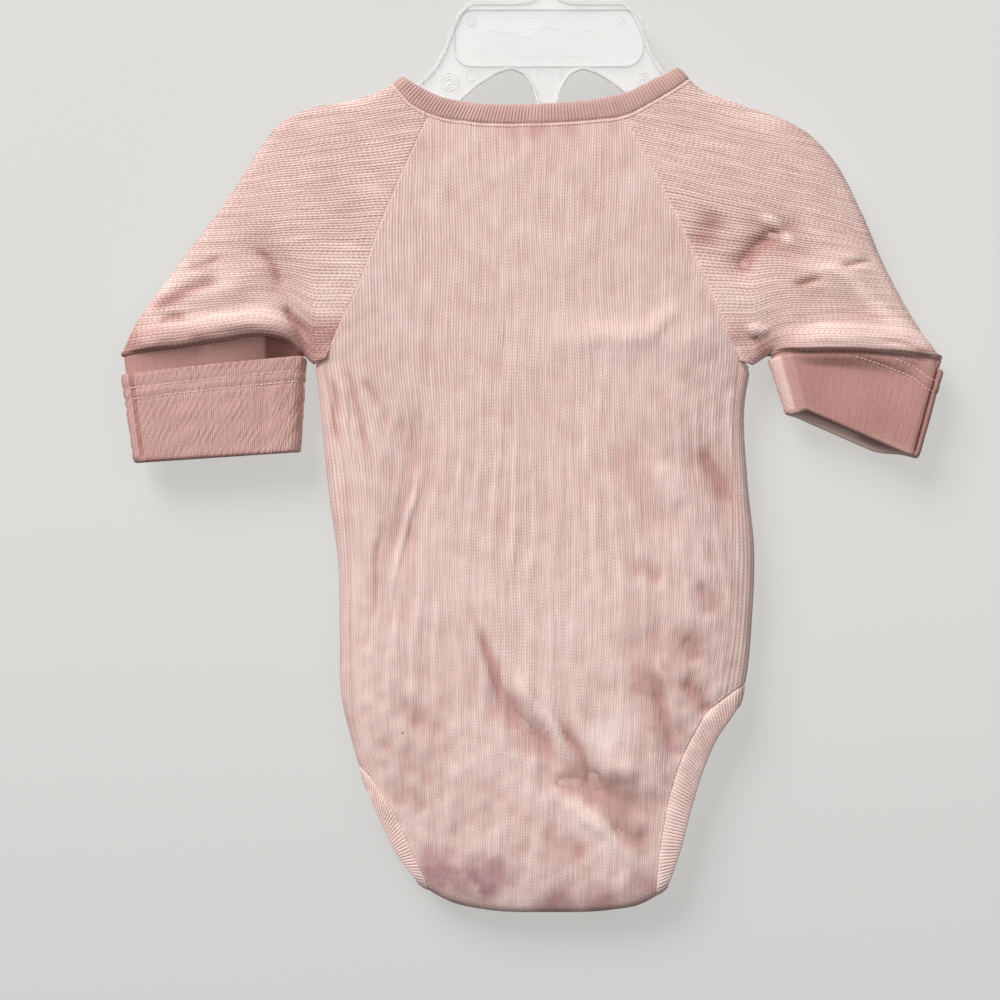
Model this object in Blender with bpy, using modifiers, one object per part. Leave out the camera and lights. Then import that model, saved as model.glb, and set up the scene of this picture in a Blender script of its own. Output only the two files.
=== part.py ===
"""Baby onesie on its hanger: a newborn's long-sleeved bodysuit in fine rib knit, hung on an infant hanger.

Sizes are in millimetres and become metres as each mesh is made. The back of the garment faces -Y, X runs to
the right as the back is seen, and Z is up. The origin is the hook's seat, the top of the rail it hangs on.

The garment hangs nearly flat, so every cloth wall follows one rule: x and z come from the outlines below,
and y is the side's half depth, which falls to nothing along a fold such as a side or a shoulder.
"""

import math
from collections import namedtuple

import bmesh
import bpy
import numpy as np

METRES = 0.001

# ---------------------------------------------------------------------------- driving dimensions
CLOTH = 1.2                 # thickness of the rib knit
BINDING = 2.0               # thickness of a doubled binding, pressed flat
SEAM = 0.5                  # width of the gap where two pieces meet
FOLD_RADIUS = 3.5           # of the cloth's middle, round a side fold or over the hanger's arm
FOLD_ANGLES = (45, 90)      # degrees round a fold at which the cloth has points
FOLD_LINE = 0.05            # nearer a fold than this, a point is on it
SWELL = 32.0                # how far in from a fold or an edge the cloth reaches its full depth
FOLD_SETTLE = 10.0          # how far in from a fold the edge's own depth is reached
CREASE_SETTLE = 12.0        # how far in from an edge a crease has its full rise
EDGE_DEPTH = 4.0            # half depth at the neck's and the legs' edges
LAP_DEPTH = 7.5             # half depth of the front panel where it laps over the flap
LAP_TOP, LAP_BOTTOM = -370.0, -412.0

ROLL_RADIUS = 1.0           # of the sleeve's rolled lower edge, at the cloth's middle
TURN_RADIUS = 0.9           # of the turned-back cuff's lower fold
CUFF_RADIUS = 4.0           # half depth of the cuff's inner layer
FAR_DROP_SPAN = 20.0        # over which the cuff's far layer comes down to hang lower than its near one
CUFF_FLARE = 0.75           # share of the cuff's height above which it opens out to the sleeve
CUFF_CLEAR = 1.2            # from the turned-back hem up to the seam with the sleeve, at the least

HANGER_THICK = 4.4
HANGER_ROUND = 1.4          # radius along the hanger's edges
HANGER_DROP = 2.2           # from the cloth's middle down to the hanger's arm
HOOK_INSIDE = 14.0          # radius of the hook's opening
HOOK_WIDTH = 5.0
LABEL_DEPTH = 1.2           # of the sunk label panel on each face
LABEL_ROUND = 8.0

SNAP_RADIUS = 4.75
SNAP_CAP = 1.2              # thickness of a snap's cap
SNAP_RING = 1.0             # thickness of its backing ring
SNAP_CORE_RADIUS = 3.0
SNAP_CLEAR = 0.3
SNAP_SIDES = 20

Point = namedtuple("Point", "x z")


def rows(*pairs):
    """A named outline: one row for each point, in the columns x and z."""
    return [Point(x, z) for x, z in pairs]


# Folds, where the front and the back are one cloth. Each starts at the neck, the armpit or the left leg.
SHOULDER_LEFT = rows((-63, -80), (-67.5, -83.5), (-73.5, -86.5), (-84, -90.5), (-105, -94.5), (-116, -100),
                     (-126, -112), (-134, -125), (-143, -138), (-163, -164.5), (-181.5, -191), (-187, -203))
SHOULDER_RIGHT = rows((57, -76), (62, -81), (68, -86), (78, -90), (91, -94.5), (104, -99), (115, -105.5),
                      (125, -116), (137, -138), (148.5, -164.5), (163.5, -191), (173.5, -204.5))
SIDE_LEFT = rows((-101, -207.5), (-99, -226), (-95, -266), (-91.5, -290), (-90.5, -325), (-89.5, -354),
                 (-86, -368.5), (-82, -382.5), (-78.5, -393.5))
SIDE_RIGHT = rows((88.5, -209.5), (86.5, -221), (87.5, -257), (90.5, -288), (89.5, -318), (86.5, -346.5),
                  (84, -356.5))
CROTCH = rows((-57, -433), (-51.5, -437), (-42, -442), (-26, -445.5), (1.5, -446.5), (28, -445.5), (41, -443),
              (47.5, -439.5), (53, -435))

# Seams and edges of each side.
RAGLAN_BACK_LEFT = rows((-51.5, -96.5), (-62.5, -120.5), (-73.5, -147), (-83, -173.5), (-90, -188),
                        (-97, -203.5))
RAGLAN_BACK_RIGHT = rows((33, -97.5), (45.5, -120.5), (57, -143), (67.5, -166), (76, -186), (84.5, -205))
RAGLAN_FRONT_LEFT = rows((-56, -108.5), (-65.5, -131.5), (-75.5, -156), (-86, -180), (-94, -196),
                         (-101, -207.5))
RAGLAN_FRONT_RIGHT = rows((50.5, -107.5), (59.5, -129.5), (68, -153.5), (76, -177), (82.5, -196),
                          (88.5, -209.5))
SIDE_SEAM_LEFT = rows((-97, -203.5), (-93, -226), (-88, -255), (-86, -285), (-85.5, -330), (-84, -362),
                      (-78, -386.5))
SIDE_SEAM_RIGHT = rows((84.5, -205), (82.3, -228), (82, -262), (81.5, -300), (79.5, -330), (75, -354.5))
NECK_BACK_SEAM = rows((-67.5, -83.5), (-60, -92), (-51.5, -96.5), (-33.5, -100), (-2, -100.5), (21.5, -99),
                      (33, -97.5), (45.5, -91.5), (55.5, -85.5), (62, -81))
NECK_BACK_EDGE = rows((-63, -80), (-57, -84), (-46.5, -89), (-33.5, -91.5), (-2, -92), (21.5, -90),
                      (33.5, -87.5), (45.5, -82), (57, -76))
NECK_FRONT_SEAM = rows((-67.5, -83.5), (-64, -96.5), (-56, -108.5), (-42, -119.5), (-23, -127), (-2.5, -129),
                       (18, -127), (37, -119.5), (50.5, -107.5), (58.5, -95), (62, -81))
NECK_FRONT_EDGE = rows((-63, -80), (-58, -91), (-49.5, -103), (-37.5, -112), (-20.5, -118.5), (-2.5, -120.5),
                       (16, -118.5), (31.5, -112), (44.5, -101.5), (52, -90.5), (57, -76))
LEG_BACK_LEFT_SEAM = rows((-82, -382.5), (-78, -386.5), (-71.5, -395.5), (-65.5, -405.5), (-60, -417.5),
                          (-55.5, -428), (-51.5, -437))
LEG_BACK_LEFT_EDGE = rows((-78.5, -393.5), (-75.5, -401), (-71.5, -410), (-67, -419), (-62, -426.5),
                          (-57, -433))
LEG_BACK_RIGHT_SEAM = rows((86.5, -346.5), (80.5, -350.5), (75, -354.5), (68.5, -361), (64, -368.5),
                           (58.5, -380), (54.5, -392), (51.5, -406), (49, -422), (47.5, -439.5))
LEG_BACK_RIGHT_EDGE = rows((84, -356.5), (79.5, -363), (75, -369.5), (70.5, -379), (66.5, -390), (63, -402),
                           (59, -417.5), (56, -427), (53, -435))
LEG_FRONT_LEFT_SEAM = rows((-82, -382.5), (-75, -388), (-68, -396.5), (-62.5, -406.5), (-57.5, -416.5),
                           (-51.5, -428.5))
LEG_FRONT_LEFT_EDGE = rows((-78.5, -393.5), (-75, -399.5), (-71, -407), (-66, -416.5), (-60, -428.5))
LEG_FRONT_RIGHT_SEAM = rows((86.5, -346.5), (80, -350), (74, -354.5), (67.5, -361.5), (62.5, -370),
                            (57, -381), (52.5, -393), (49.5, -407), (46.5, -428.5))
LEG_FRONT_RIGHT_EDGE = rows((84, -356.5), (78.5, -361.5), (73, -369), (68, -379), (63.5, -391), (60, -405),
                            (55, -428.5))
FLAP_LEFT_SEAM = rows((-51.5, -437), (-51, -426), (-51, -416))
FLAP_LEFT_EDGE = rows((-57, -433), (-58.5, -424.5), (-60, -416))
FLAP_RIGHT_SEAM = rows((47.5, -439.5), (46.5, -428), (46.5, -416))
FLAP_RIGHT_EDGE = rows((53, -435), (54.5, -425.5), (55.5, -416))
SLEEVE_END_BACK_LEFT = rows((-107.3, -202.5), (-111, -198.5), (-117, -195.5), (-126, -194), (-140, -196),
                            (-160, -199), (-179, -201.5), (-187, -203))
SLEEVE_END_FRONT_LEFT = rows((-187, -203), (-165, -203), (-135, -201), (-115, -201.5), (-107.3, -202.5))
SLEEVE_END_BACK_RIGHT = rows((98, -202.5), (103, -201), (115, -200.8), (138, -201), (158, -202.5),
                             (173.5, -204.5))
SLEEVE_END_FRONT_RIGHT = rows((173.5, -204.5), (155, -203), (125, -202), (106, -202), (98, -202.5))
UNDERARM = {"left": Point(-102.4, -205.9), "right": Point(90.2, -206.2)}   # where a sleeve's two seams meet

Depth = namedtuple("Depth", "z half")
BODY_DEPTHS = [Depth(-450, 7.5), Depth(-412, 7.5), Depth(-370, 9.5), Depth(-320, 10.5), Depth(-260, 10.0),
               Depth(-200, 8.6), Depth(-150, 7.5), Depth(-110, 6.0), Depth(-80, 5.0)]

# The largest soft creases: a straight stretch of cloth that rises or, where rise is negative, sinks.
Crease = namedtuple("Crease", "side x0 z0 x1 z1 width rise")
CREASES = [
    Crease("back", 12, -195, 62, -196, 9, 1.4),
    Crease("back", -57, -240, -64, -283, 9, -1.3),
    Crease("back", -64, -283, -70, -316, 8, -1.0),
    Crease("back", 33, -250, 48, -274, 10, -1.2),
    Crease("back", 64, -246, 80, -265, 9, -1.3),
    Crease("back", -20, -353, 3, -379, 9, -2.0),
    Crease("back", 3, -366, 20, -394, 9, -2.1),
    Crease("back", -6, -350, 12, -372, 8, 1.2),
    Crease("back", 22, -390, 44, -402, 9, -1.6),
    Crease("back", 46, -330, 50, -352, 10, -1.7),
    Crease("back", -62, -386, -48, -420, 9, -1.2),
    Crease("back", -171, -176, -140, -172, 8, 1.8),
    Crease("back", -160, -185, -132, -184, 8, -1.7),
    Crease("back", -126, -156, -117, -170, 8, -1.5),
    Crease("back", 94, -144, 108, -158, 8, -1.5),
    Crease("back", 84, -160, 103, -151, 8, -1.4),
    Crease("back", 128, -165, 146, -161, 8, 1.5),
    Crease("back", 120, -180, 150, -186, 9, -1.4),
    Crease("front", -30, -190, 24, -196, 10, 1.4),
    Crease("front", 56, -232, 62, -282, 10, -1.4),
    Crease("front", -48, -252, -38, -286, 10, -1.3),
    Crease("front", 2, -330, 26, -362, 10, -1.8),
    Crease("front", -34, -322, -14, -352, 10, -1.6),
    Crease("front", 40, -300, 46, -330, 9, 1.2),
    Crease("front", 132, -170, 158, -178, 8, 1.6),
    Crease("front", -150, -168, -126, -178, 8, -1.6),
    Crease("front", 98, -150, 110, -170, 8, -1.4),
]

CuffSize = namedtuple("CuffSize", "mouth_inner mouth_outer hem_inner hem_outer far_drop")
CUFF_SIZES = {
    "left": CuffSize((-110.5, -243.2), (-179.5, -247.8), 41.0, 37.5, 0.0),
    "right": CuffSize((106.8, -223.0), (161.4, -245.7), 41.0, 38.5, 3.5),
}

HANGER_NECK = rows((34, -46.2), (38.8, -51), (42.8, -59), (46, -68), (50, -75), (55, -80.5), (62, -85.5))
HANGER_UNDER = rows((116, -118), (102, -108), (85, -101.5), (67, -99), (55, -101), (46, -105.5))
HANGER_ARCH = rows((4, -99.5), (4.5, -92), (6.5, -85), (10, -79), (15.5, -76.5), (22, -78.5), (30, -83.5),
                   (37.5, -90), (42, -95), (42.5, -99.5))
LABEL_LOW, LABEL_HIGH = Point(-41, -75), Point(42, -50)
HOOK_NECK = rows((0.2, -38.5), (2.9, -32.6))
HOOK_START, HOOK_END = -60, 195   # degrees round the hook's opening, from its neck to its tip
HOOK_FLARE = rows((3, -41), (5, -44), (9, -45.8), (13.5, -46.2))

SNAPS = rows((-38.5, -422.3), (-2.5, -422.3), (33.5, -422.3))

RAGLAN_ROWS = 12
SIDE_ROWS = 11
LEG_ROWS = 8
LEG_STRETCH = 1.4           # the leg seams leave a fold on the slant, so their points are wider apart there
SPREAD = 1.2                # by which the front panel's outer columns widen, row by row, below the leg's top
FLAP_ROWS = 2
PANEL_COLUMNS = 16
SLEEVE_COLUMNS = 6
UNDERARM_COLUMNS = 2
FRONT_SEAM_END = 0.93       # share of the front's raglan seam at which a sleeve turns to its underarm point
CORNER_ROWS = 3             # rows over which a sleeve's columns draw in to round its cuff's corner
END_REACH = 4               # the higher, the nearer its end a sleeve takes on the end's own curve
STRIP_COLUMNS = 2
NECK_REACH = 3.5            # rows over which a panel takes on the neck's curve
NECK_STEPS = 20
BINDING_COLUMNS = 3
CUFF_STEPS = 6

KNIT_COLOUR = (0.70, 0.48, 0.43, 1.0)
CUFF_COLOUR = (0.60, 0.39, 0.35, 1.0)
BINDING_COLOUR = (0.72, 0.50, 0.45, 1.0)
PLASTIC_COLOUR = (0.85, 0.88, 0.88, 0.35)
SNAP_COLOUR = (0.72, 0.62, 0.60, 1.0)


# ---------------------------------------------------------------------------- curves and distances
def curve_at(path, shares):
    """Points at the given shares of a smooth curve through a path's rows."""
    knots = np.array(path, dtype=float)
    along = np.concatenate(([0.0], np.cumsum(np.linalg.norm(np.diff(knots, axis=0), axis=1))))
    slope = np.gradient(knots, along, axis=0)
    distance = np.clip(np.asarray(shares, dtype=float), 0.0, 1.0) * along[-1]
    i = np.clip(np.searchsorted(along, distance, side="right") - 1, 0, len(along) - 2)
    span = (along[i + 1] - along[i])[:, None]
    t = (distance - along[i])[:, None] / span
    return ((2 * t**3 - 3 * t**2 + 1) * knots[i] + (t**3 - 2 * t**2 + t) * span * slope[i]
            + (3 * t**2 - 2 * t**3) * knots[i + 1] + (t**3 - t**2) * span * slope[i + 1])


def length_of(path):
    return float(np.linalg.norm(np.diff(curve_at(path, np.linspace(0, 1, 60)), axis=0), axis=1).sum())


def distance_to(points, line):
    """How far each point lies from a line of straight pieces."""
    start, step = line[:-1], np.diff(line, axis=0)
    from_start = points[:, None, :] - start[None]
    share = np.clip((from_start * step).sum(-1) / (step**2).sum(-1), 0.0, 1.0)
    return np.linalg.norm(from_start - share[..., None] * step, axis=-1).min(axis=1)


def smoothstep(x):
    x = np.clip(x, 0.0, 1.0)
    return x * x * (3 - 2 * x)


def drawn(path):
    return curve_at(path, np.linspace(0, 1, 60))


SIDE_FOLDS = [drawn(path) for path in (SHOULDER_LEFT, SHOULDER_RIGHT, SIDE_LEFT, SIDE_RIGHT)]
CROTCH_FOLD = drawn(CROTCH)
FOLDS = {"back": SIDE_FOLDS + [CROTCH_FOLD], "front": SIDE_FOLDS, "flap": [CROTCH_FOLD]}
EDGES = {
    "back": [drawn(path) for path in (NECK_BACK_EDGE, LEG_BACK_LEFT_EDGE, LEG_BACK_RIGHT_EDGE)],
    "front": [drawn(path) for path in (NECK_FRONT_EDGE, LEG_FRONT_LEFT_EDGE, LEG_FRONT_RIGHT_EDGE)],
}


# ---------------------------------------------------------------------------- the cloth's depth
def half_depth(points, side, folds=None):
    """How far the cloth's middle lies from the garment's own middle plane."""
    to_fold = np.min([distance_to(points, fold) for fold in folds or FOLDS[side]], axis=0)
    to_fold = np.maximum(to_fold - FOLD_LINE, 0.0)
    inset = 1 - np.clip(to_fold / FOLD_RADIUS, 0.0, 1.0)
    depth = FOLD_RADIUS * np.sqrt(1 - inset**2)
    if side == "flap":
        return depth
    to_edge = np.min([distance_to(points, edge) for edge in EDGES[side]] + [to_fold], axis=0)
    z = points[:, 1]
    edge_depth = np.full(len(points), EDGE_DEPTH)
    if side == "front":
        edge_depth = np.interp(z, (LAP_BOTTOM, LAP_TOP), (LAP_DEPTH, EDGE_DEPTH))
    table = np.array(BODY_DEPTHS)
    full_depth = np.interp(z, table[:, 0], table[:, 1])
    swell = np.sin(np.pi / 2 * np.clip(to_edge / SWELL, 0.0, 1.0))
    depth += (edge_depth - FOLD_RADIUS) * smoothstep(to_fold / FOLD_SETTLE)
    depth += (full_depth - edge_depth) * swell
    relief = np.zeros(len(points))
    for crease in CREASES:
        if crease.side == side:
            line = np.array([(crease.x0, crease.z0), (crease.x1, crease.z1)], dtype=float)
            relief += crease.rise * np.exp(-(distance_to(points, line) / crease.width) ** 2)
    return depth + relief * smoothstep(to_edge / CREASE_SETTLE)


def on_cloth(points, side, folds=None):
    """The cloth's middle, in three dimensions, over points of the outline's plane."""
    points = np.asarray(points, dtype=float)
    away = -1.0 if side == "back" else 1.0
    return np.column_stack((points[:, 0], away * half_depth(points, side, folds), points[:, 1]))


FOLD_STEPS = [FOLD_RADIUS * (1 - math.cos(math.radians(angle))) for angle in FOLD_ANGLES]


def spaced(length, count, fold_start=False, fold_end=False, stretch=1.0, spread=0.0):
    """Distances from 0 to length, close together next to a fold and even between."""
    steps = [step * stretch + spread * number for number, step in enumerate(FOLD_STEPS, start=1)]
    head = [0.0] + (steps if fold_start else [])
    tail = ([length - step for step in reversed(steps)] if fold_end else []) + [length]
    middle = list(np.linspace(head[-1], tail[0], count + 1)[1:-1])
    return np.array(head + middle + tail)


# ---------------------------------------------------------------------------- making solids
def material_for(name, colour, roughness, metallic=0.0):
    material = bpy.data.materials.new(name)
    material.use_nodes = True
    shader = material.node_tree.nodes["Principled BSDF"]
    shader.inputs["Base Color"].default_value = colour
    shader.inputs["Alpha"].default_value = colour[3]
    shader.inputs["Roughness"].default_value = roughness
    shader.inputs["Metallic"].default_value = metallic
    material.diffuse_color = colour
    return material


def add_grid(bm, points):
    """A grid primitive whose points are moved onto the given rows and columns of points."""
    row_count, column_count = points.shape[:2]
    made = bmesh.ops.create_grid(bm, x_segments=column_count - 1, y_segments=row_count - 1, size=1.0)
    for vertex in made["verts"]:
        column = round((vertex.co.x + 1) / 2 * (column_count - 1))
        row = round((vertex.co.y + 1) / 2 * (row_count - 1))
        vertex.co = points[row, column] * METRES


def draw_back_edges(bm, amount):
    """Move each open edge inwards along the cloth, which leaves the gap at its seams."""
    shifts = {}
    for edge in bm.edges:
        if len(edge.link_faces) != 1:
            continue
        face = edge.link_faces[0]
        first, second = edge.verts
        along = (second.co - first.co).normalized()
        inward = face.normal.cross(along)
        if inward.dot(face.calc_center_median() - first.co) < 0:
            inward.negate()
        for vertex in edge.verts:
            shifts.setdefault(vertex, []).append(inward)
    for vertex, directions in shifts.items():
        total = sum(directions[1:], directions[0].copy())
        middle = total.normalized()
        spread = max(middle.dot(directions[0].normalized()), 0.5)
        vertex.co += middle * amount * METRES / spread


def face_outwards(bm):
    """Turn the sheet so that its faces point away from the garment's middle plane."""
    outwards = sum(face.normal.y * face.calc_center_median().y * face.calc_area() for face in bm.faces)
    if outwards < 0:
        bmesh.ops.reverse_faces(bm, faces=bm.faces[:])


def cloth(name, grids, material, thickness=CLOTH, side_share=0.0):
    """A wall of cloth from one or more grids of its middle that meet point for point."""
    bm = bmesh.new()
    for grid in grids:
        add_grid(bm, grid)
    bmesh.ops.remove_doubles(bm, verts=bm.verts[:], dist=0.00002)
    bmesh.ops.recalc_face_normals(bm, faces=bm.faces[:])
    face_outwards(bm)
    bm.normal_update()
    draw_back_edges(bm, SEAM / 2)
    mesh = bpy.data.meshes.new(name)
    bm.to_mesh(mesh)
    bm.free()
    mesh.shade_smooth()
    mesh.materials.append(material)
    piece = bpy.data.objects.new(name, mesh)
    onesie.objects.link(piece)
    wall = piece.modifiers.new("wall", "SOLIDIFY")
    wall.thickness = thickness * METRES
    wall.offset = side_share
    wall.use_even_offset = True
    return piece


# ---------------------------------------------------------------------------- panels
def between(left, right, shares):
    """One row of points for each pair of end points."""
    return left[:, None, :] * (1 - shares)[..., None] + right[:, None, :] * shares[..., None]


def raise_grid(flat, side, folds=None):
    shape = flat.shape[:2]
    return on_cloth(flat.reshape(-1, 2), side, folds).reshape(*shape, 3)


def edge_points(parts):
    """The end points of a panel's rows, down one edge: each part is a path and its share of rows."""
    points = [curve_at(path, np.linspace(0, 1, count + 1))[(0 if i == 0 else 1):]
              for i, (path, count) in enumerate(parts)]
    return np.concatenate(points)


def share_where(path, x):
    """The share of a path at which it reaches x."""
    shares = np.linspace(0, 1, 400)
    return float(shares[np.argmin(np.abs(curve_at(path, shares)[:, 0] - x))])


def sagging(points, curve):
    """Bend a grid's first rows down to follow a curved top edge."""
    chord_z = np.interp(points[0, :, 0], points[0, [0, -1], 0], points[0, [0, -1], 1])
    sag = np.interp(points[0, :, 0], curve[:, 0], curve[:, 1]) - chord_z
    weight = np.exp(-np.arange(len(points)) / NECK_REACH)
    points[:, :, 1] += weight[:, None] * sag[None, :]
    return points


def leg_shares(path, start, fold_start=False, fold_end=False):
    """Shares of a leg seam at which both the panel and the binding have points."""
    length = length_of(path)
    steps = spaced(length * (1 - start), LEG_ROWS, fold_start, fold_end, LEG_STRETCH)
    return start + steps / length


def back_panel():
    left_shares = leg_shares(LEG_BACK_LEFT_SEAM, share_where(LEG_BACK_LEFT_SEAM, -78), fold_end=True)
    right_shares = leg_shares(LEG_BACK_RIGHT_SEAM, share_where(LEG_BACK_RIGHT_SEAM, 75), fold_end=True)
    left_leg = curve_at(LEG_BACK_LEFT_SEAM, left_shares)
    right_leg = curve_at(LEG_BACK_RIGHT_SEAM, right_shares)
    left_side = edge_points([(RAGLAN_BACK_LEFT, RAGLAN_ROWS), (SIDE_SEAM_LEFT, SIDE_ROWS)])
    right_side = edge_points([(RAGLAN_BACK_RIGHT, RAGLAN_ROWS), (SIDE_SEAM_RIGHT, SIDE_ROWS)])
    left = np.vstack([left_side[:-1], left_leg])
    right = np.vstack([right_side[:-1], right_leg])
    shares = np.linspace(0, 1, PANEL_COLUMNS + 1)
    flat = between(left, right, np.tile(shares, (len(left), 1)))
    flat = sagging(flat, drawn(NECK_BACK_SEAM))
    fold_z = np.interp(flat[-1, :, 0], CROTCH_FOLD[:, 0], CROTCH_FOLD[:, 1])
    reach = smoothstep(np.linspace(0, 1, len(left_leg)))
    flat[-len(left_leg):, :, 1] += reach[:, None] * (fold_z - flat[-1, :, 1])[None, :]
    flap_left, flap_right = flap_rows(FLAP_LEFT_SEAM), flap_rows(FLAP_RIGHT_SEAM)
    flap = between(flap_left, flap_right, np.tile(shares, (len(flap_left), 1)))
    fade = 1 - smoothstep(np.linspace(0, 1, len(flap_left)))
    flap[:, :, 1] += fade[:, None] * (fold_z - flap[0, :, 1])[None, :]
    back, front = raise_grid(flat, "back"), raise_grid(flap, "flap")
    back[-1, :, 1] = 0.0
    front[0, :, 1] = 0.0
    return [back, front]


def flap_rows(seam):
    return curve_at(seam, spaced(length_of(seam), FLAP_ROWS, True) / length_of(seam))


def front_panel():
    """The front, from fold to fold, with a strip down each side that wraps round to the side seam."""
    leg_left = curve_at(LEG_FRONT_LEFT_SEAM, leg_shares(LEG_FRONT_LEFT_SEAM, 0.0, fold_start=True))
    leg_right = curve_at(LEG_FRONT_RIGHT_SEAM, leg_shares(LEG_FRONT_RIGHT_SEAM, 0.0, fold_start=True))
    grids = []
    fold_left = side_fold_rows(SIDE_LEFT, LEG_FRONT_LEFT_SEAM[0])
    fold_right = side_fold_rows(SIDE_RIGHT, LEG_FRONT_RIGHT_SEAM[0])
    raglan_left = curve_at(RAGLAN_FRONT_LEFT, np.linspace(0, 1, RAGLAN_ROWS + 1))
    raglan_right = curve_at(RAGLAN_FRONT_RIGHT, np.linspace(0, 1, RAGLAN_ROWS + 1))
    left = np.concatenate([raglan_left[:-1], fold_left, leg_left[1:]])
    right = np.concatenate([raglan_right[:-1], fold_right, leg_right[1:]])
    widths = np.linalg.norm(right - left, axis=1)
    past_leg_top = np.arange(len(left)) - (RAGLAN_ROWS + SIDE_ROWS)
    spread = SPREAD * np.clip(past_leg_top, 0, 2)
    shares = np.stack([spaced(width, PANEL_COLUMNS - 2, True, True, 1.0, wider) / width
                       for width, wider in zip(widths, spread)])
    flat = sagging(between(left, right, shares), drawn(NECK_FRONT_SEAM))
    grids.append(raise_grid(flat, "front"))
    for fold, seam_path in ((fold_left, SIDE_SEAM_LEFT), (fold_right, SIDE_SEAM_RIGHT)):
        seam = curve_at(seam_path, np.linspace(0, 1, SIDE_ROWS + 1))
        strip_widths = np.linalg.norm(seam - fold, axis=1)
        shares = np.stack([spaced(width, STRIP_COLUMNS - 1, True) / width for width in strip_widths])
        grids.append(raise_grid(between(fold, seam, shares), "back"))
    return grids


def side_fold_rows(path, leg_top):
    """The front panel's row ends down a side fold, from the armpit to the top of the leg."""
    shares = np.linspace(0, 1, 400)
    points = curve_at(path, shares)
    last = float(shares[np.argmin(np.abs(points[:, 1] - leg_top.z))])
    return curve_at(path, np.linspace(0, last, SIDE_ROWS + 1))


# ---------------------------------------------------------------------------- sleeves and cuffs
def bulge(path, shares):
    """How far a curved edge stands off the straight line between its ends."""
    curve = curve_at(path, shares)
    straight = curve[:1] * (1 - shares)[:, None] + curve[-1:] * shares[:, None]
    return curve - straight


def neck_part(path, x_from, x_to):
    """The stretch of a neck seam that a sleeve meets."""
    start, end = share_where(path, x_from), share_where(path, x_to)
    return [Point(*point) for point in curve_at(path, np.linspace(start, end, 7))]


def sleeve(side):
    """A raglan sleeve: from its back seam over the shoulder fold to its front seam, then a rolled edge."""
    outer = {"left": SHOULDER_LEFT, "right": SHOULDER_RIGHT}[side]
    back_seam = {"left": RAGLAN_BACK_LEFT, "right": RAGLAN_BACK_RIGHT}[side]
    front_seam = {"left": RAGLAN_FRONT_LEFT, "right": RAGLAN_FRONT_RIGHT}[side]
    end_back = {"left": SLEEVE_END_BACK_LEFT, "right": SLEEVE_END_BACK_RIGHT}[side]
    end_front = {"left": SLEEVE_END_FRONT_LEFT, "right": SLEEVE_END_FRONT_RIGHT}[side]
    neck_fold_x = NECK_BACK_SEAM[0 if side == "left" else -1].x
    neck_back = neck_part(NECK_BACK_SEAM, back_seam[0].x, neck_fold_x)
    neck_front = neck_part(NECK_FRONT_SEAM, front_seam[0].x, neck_fold_x)
    hem_rise = ROLL_RADIUS + CLOTH / 2
    fold_start = share_where(outer, neck_fold_x)
    fold_end = 1 - hem_rise / length_of(outer)
    shoulder = curve_at(outer, np.linspace(fold_start, fold_end, 60))
    shares = spaced(length_of(outer), RAGLAN_ROWS, False, True) / length_of(outer)
    fold = curve_at(outer, fold_start + (fold_end - fold_start) * shares)
    underarm = np.array(UNDERARM[side])
    grids = []
    sides = (("back", back_seam, 1.0, neck_back, end_back),
             ("front", front_seam, FRONT_SEAM_END, neck_front, end_front[::-1]))
    for name, seam, seam_end, neck, end in sides:
        body = curve_at(seam, np.linspace(0, seam_end, RAGLAN_ROWS + 1))
        last_step = body[-1] - underarm
        nearer = [underarm + last_step / np.linalg.norm(last_step) * step for step in reversed(FOLD_STEPS)]
        body = np.vstack([body, nearer, [underarm]])
        end_curve = [underarm] + [(x, z + hem_rise) for x, z in end]
        corner = np.array(end_curve[1])
        to_corner = np.linalg.norm(corner - underarm)
        width = length_of(end_curve)
        rounded = to_corner + spaced(width - to_corner, SLEEVE_COLUMNS, True, True)
        rounded = np.concatenate([np.linspace(0, to_corner, UNDERARM_COLUMNS + 1)[:-1], rounded]) / width
        rows_ = []
        for row, share in enumerate(shares):
            reach = float(np.linalg.norm(fold[row] - body[row]))
            even = spaced(reach, len(rounded) - 1 - len(FOLD_STEPS), False, True) / reach
            blend = smoothstep((row - RAGLAN_ROWS + CORNER_ROWS) / (CORNER_ROWS + len(FOLD_STEPS)))
            across = even * (1 - blend) + rounded * blend
            points = body[row] * (1 - across)[:, None] + fold[row] * across[:, None]
            points += (1 - share) * bulge(neck, across) + share**END_REACH * bulge(end_curve, across)
            rows_.append(points)
        rows_[-1][:UNDERARM_COLUMNS + 1] = np.linspace(underarm, corner, UNDERARM_COLUMNS + 1)
        folds = [shoulder, np.array([underarm, corner, corner - (0, CUFF_RADIUS)])]
        grid = raise_grid(np.array(rows_), name, folds)
        grid[-1, :UNDERARM_COLUMNS + 1, 1] = 0.0
        grid[:, -1, 1] = 0.0
        grids.append(grid)
    loop = np.concatenate([grids[0][-1, UNDERARM_COLUMNS:], grids[1][-1, UNDERARM_COLUMNS:][::-1][1:]])
    roll = rolled_edge(loop)
    return grids + [np.concatenate([loop[None], roll])], roll[-1]


def loop_inward(loop):
    """The direction into a closed loop that hangs level, at each of its points."""
    ahead = np.roll(loop[:-1], -1, axis=0) - np.roll(loop[:-1], 1, axis=0)
    ahead = np.vstack([ahead, ahead[:1]])
    inward = np.column_stack((-ahead[:, 1], ahead[:, 0]))
    inward /= np.linalg.norm(inward, axis=1)[:, None]
    x, y = loop[:-1, 0], loop[:-1, 1]
    turning = np.sum(x * np.roll(y, -1) - np.roll(x, -1) * y)
    if turning < 0:
        inward = -inward
    return np.column_stack((inward[:, 0], inward[:, 1], np.zeros(len(loop))))


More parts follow.
